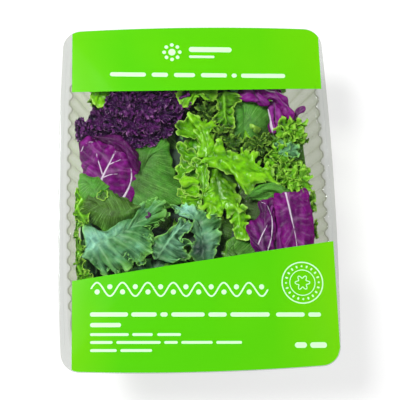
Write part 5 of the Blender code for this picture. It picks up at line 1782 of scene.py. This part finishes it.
PIECES = (
    # lollo: its pale pink, speckled margin colour is painted glints
    ("leaves_purple", purple, leaf_material(
        "purple_frill", rgb(40, 0, 66), rgb(98, 6, 104), rgb(232, 160, 228), rgb(150, 80, 160),
        rgb(14, 0, 36), veins=0.08, gloss=0.2, bump=0.9, clear=0.1, tip=0.0, web=0.04, lines=0.06, spec=0.5,
        hollow_shade=0.9, crest=0.3, hem=0.9, crest_highlight=rgb(150, 52, 156), scatter=0.52,
        under=rgb(22, 0, 36))),
    ("leaves_yellow", yellow, leaf_material(
        "yellow_green", rgb(82, 176, 0), rgb(148, 246, 0), rgb(204, 255, 110), rgb(166, 238, 56),
        rgb(28, 84, 0), veins=0.10, gloss=0.24, bump=0.12, clear=0.25, tip=0.3, web=0.05, lines=0.04, spec=0.36,
        hollow_shade=0.75, crest=0.7, hem=0.7, crest_highlight=rgb(172, 250, 44), vary=2.6, under=rgb(32, 64, 10))),
    # blue-green leaves: their pale cyan at high tone is a painted sheen
    ("leaves_frilly", frilly, leaf_material(
        "blue_green", rgb(60, 146, 30), rgb(176, 255, 230), rgb(170, 246, 120), rgb(176, 236, 170),
        rgb(14, 56, 20), veins=0.3, gloss=0.3, bump=0.2, clear=0.2, tip=0.3, web=0.06, lines=0.35, spec=0.2,
        line_col=(rgb(112, 190, 66), rgb(196, 252, 232)), hollow_shade=0.9, crest=0.45, hem=0.6,
        crest_highlight=(rgb(128, 206, 82), rgb(200, 255, 240)), vary=0.9)),
    ("leaves_smooth", plain_leaves, leaf_material(
        "mid_green", rgb(62, 96, 14), rgb(78, 168, 48), rgb(124, 198, 60), rgb(144, 206, 100),
        rgb(26, 50, 20), veins=0.12, gloss=0.26, net=3.2, bump=0.35, clear=0.15, tip=0.3, web=0.05, lines=0.55, spec=0.17,
        hollow_shade=0.8, crest=0.2, hem=0.3, under=rgb(40, 52, 20))),
    ("radicchio", red_leaves, leaf_material(
        "radicchio", rgb(82, 0, 86), rgb(148, 4, 142), rgb(134, 6, 118), rgb(246, 230, 248),
        rgb(38, 0, 48), veins=0.1, gloss=0.2, net=7.0, bump=0.4, clear=0.12, tip=0.3, web=0.16, lines=0.22,
        line_col=rgb(168, 26, 158), spec=0.15, hollow_shade=0.9, crest=0.4, hem=0.3, crest_highlight=rgb(184, 44, 186), vary=2.2, under=rgb(48, 0, 44))),
    ("endive", curly, leaf_material(
        "curly_green", rgb(46, 122, 0), rgb(126, 222, 14), rgb(198, 255, 96), rgb(160, 226, 72),
        rgb(12, 50, 0), veins=0.15, gloss=0.26, bump=0.2, clear=0.25, tip=0.4, web=0.05, lines=0.08, spec=0.2,
        hollow_shade=0.9, crest=0.4, hem=0.6, crest_highlight=rgb(170, 244, 60), vary=1.8, under=rgb(22, 44, 22))),
)
total = 0
for name, gathered, stuff in PIECES:
    if not gathered.n:
        continue
    piece = finish_leaves(gathered, name, stuff)
    print(name, gathered.triangles())
    total += gathered.triangles()
    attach(piece, "root")
    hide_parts("salad")
print("triangles of leaves", total)

# ----------------------------------------------------------------------------
# Floor and lights
# ----------------------------------------------------------------------------
floor_mesh = bpy.data.meshes.new("floor")
s = 3.0
floor_mesh.from_pydata([(-s, -s, 0), (s, -s, 0), (s, s, 0), (-s, s, 0)], [], [(0, 1, 2, 3)])
floor_mesh.materials.append(floor_material())
floor = bpy.data.objects.new("floor", floor_mesh)
floor.location.z = -0.0006
scene.collection.objects.link(floor)

world = bpy.data.worlds.new("soft_room")
scene.world = world
world.use_nodes = True
tree = world.node_tree
where = tree.nodes.new("ShaderNodeTexCoord")
split = tree.nodes.new("ShaderNodeSeparateXYZ")
fade = tree.nodes.new("ShaderNodeValToRGB")
tree.links.new(where.outputs["Generated"], split.inputs[0])
tree.links.new(split.outputs[2], fade.inputs[0])
tree.links.new(fade.outputs[0], tree.nodes["Background"].inputs["Color"])
fade.color_ramp.elements[0].position = 0.12
fade.color_ramp.elements[0].color = (0.5, 0.5, 0.5, 1.0)
fade.color_ramp.elements[1].position = 0.75
fade.color_ramp.elements[1].color = (0.14, 0.14, 0.14, 1.0)


def soft_light(name, place, target, size, power, colour=(1, 1, 1)):
    from mathutils import Vector
    data = bpy.data.lights.new(name, "AREA")
    data.shape = "RECTANGLE"
    data.size, data.size_y = size
    data.energy = power
    data.color = colour
    obj = bpy.data.objects.new(name, data)
    obj.location = place
    obj.rotation_euler = (Vector(target) - Vector(place)).to_track_quat("-Z", "Y").to_euler()
    scene.collection.objects.link(obj)


soft_light("key", (-0.62, 0.30, 1.15), (0, 0, 0.03), (0.42, 0.42), 18.2)
soft_light("fill", (0.8, -0.3, 1.0), (0, 0, 0.03), (0.7, 0.7), 4.5)
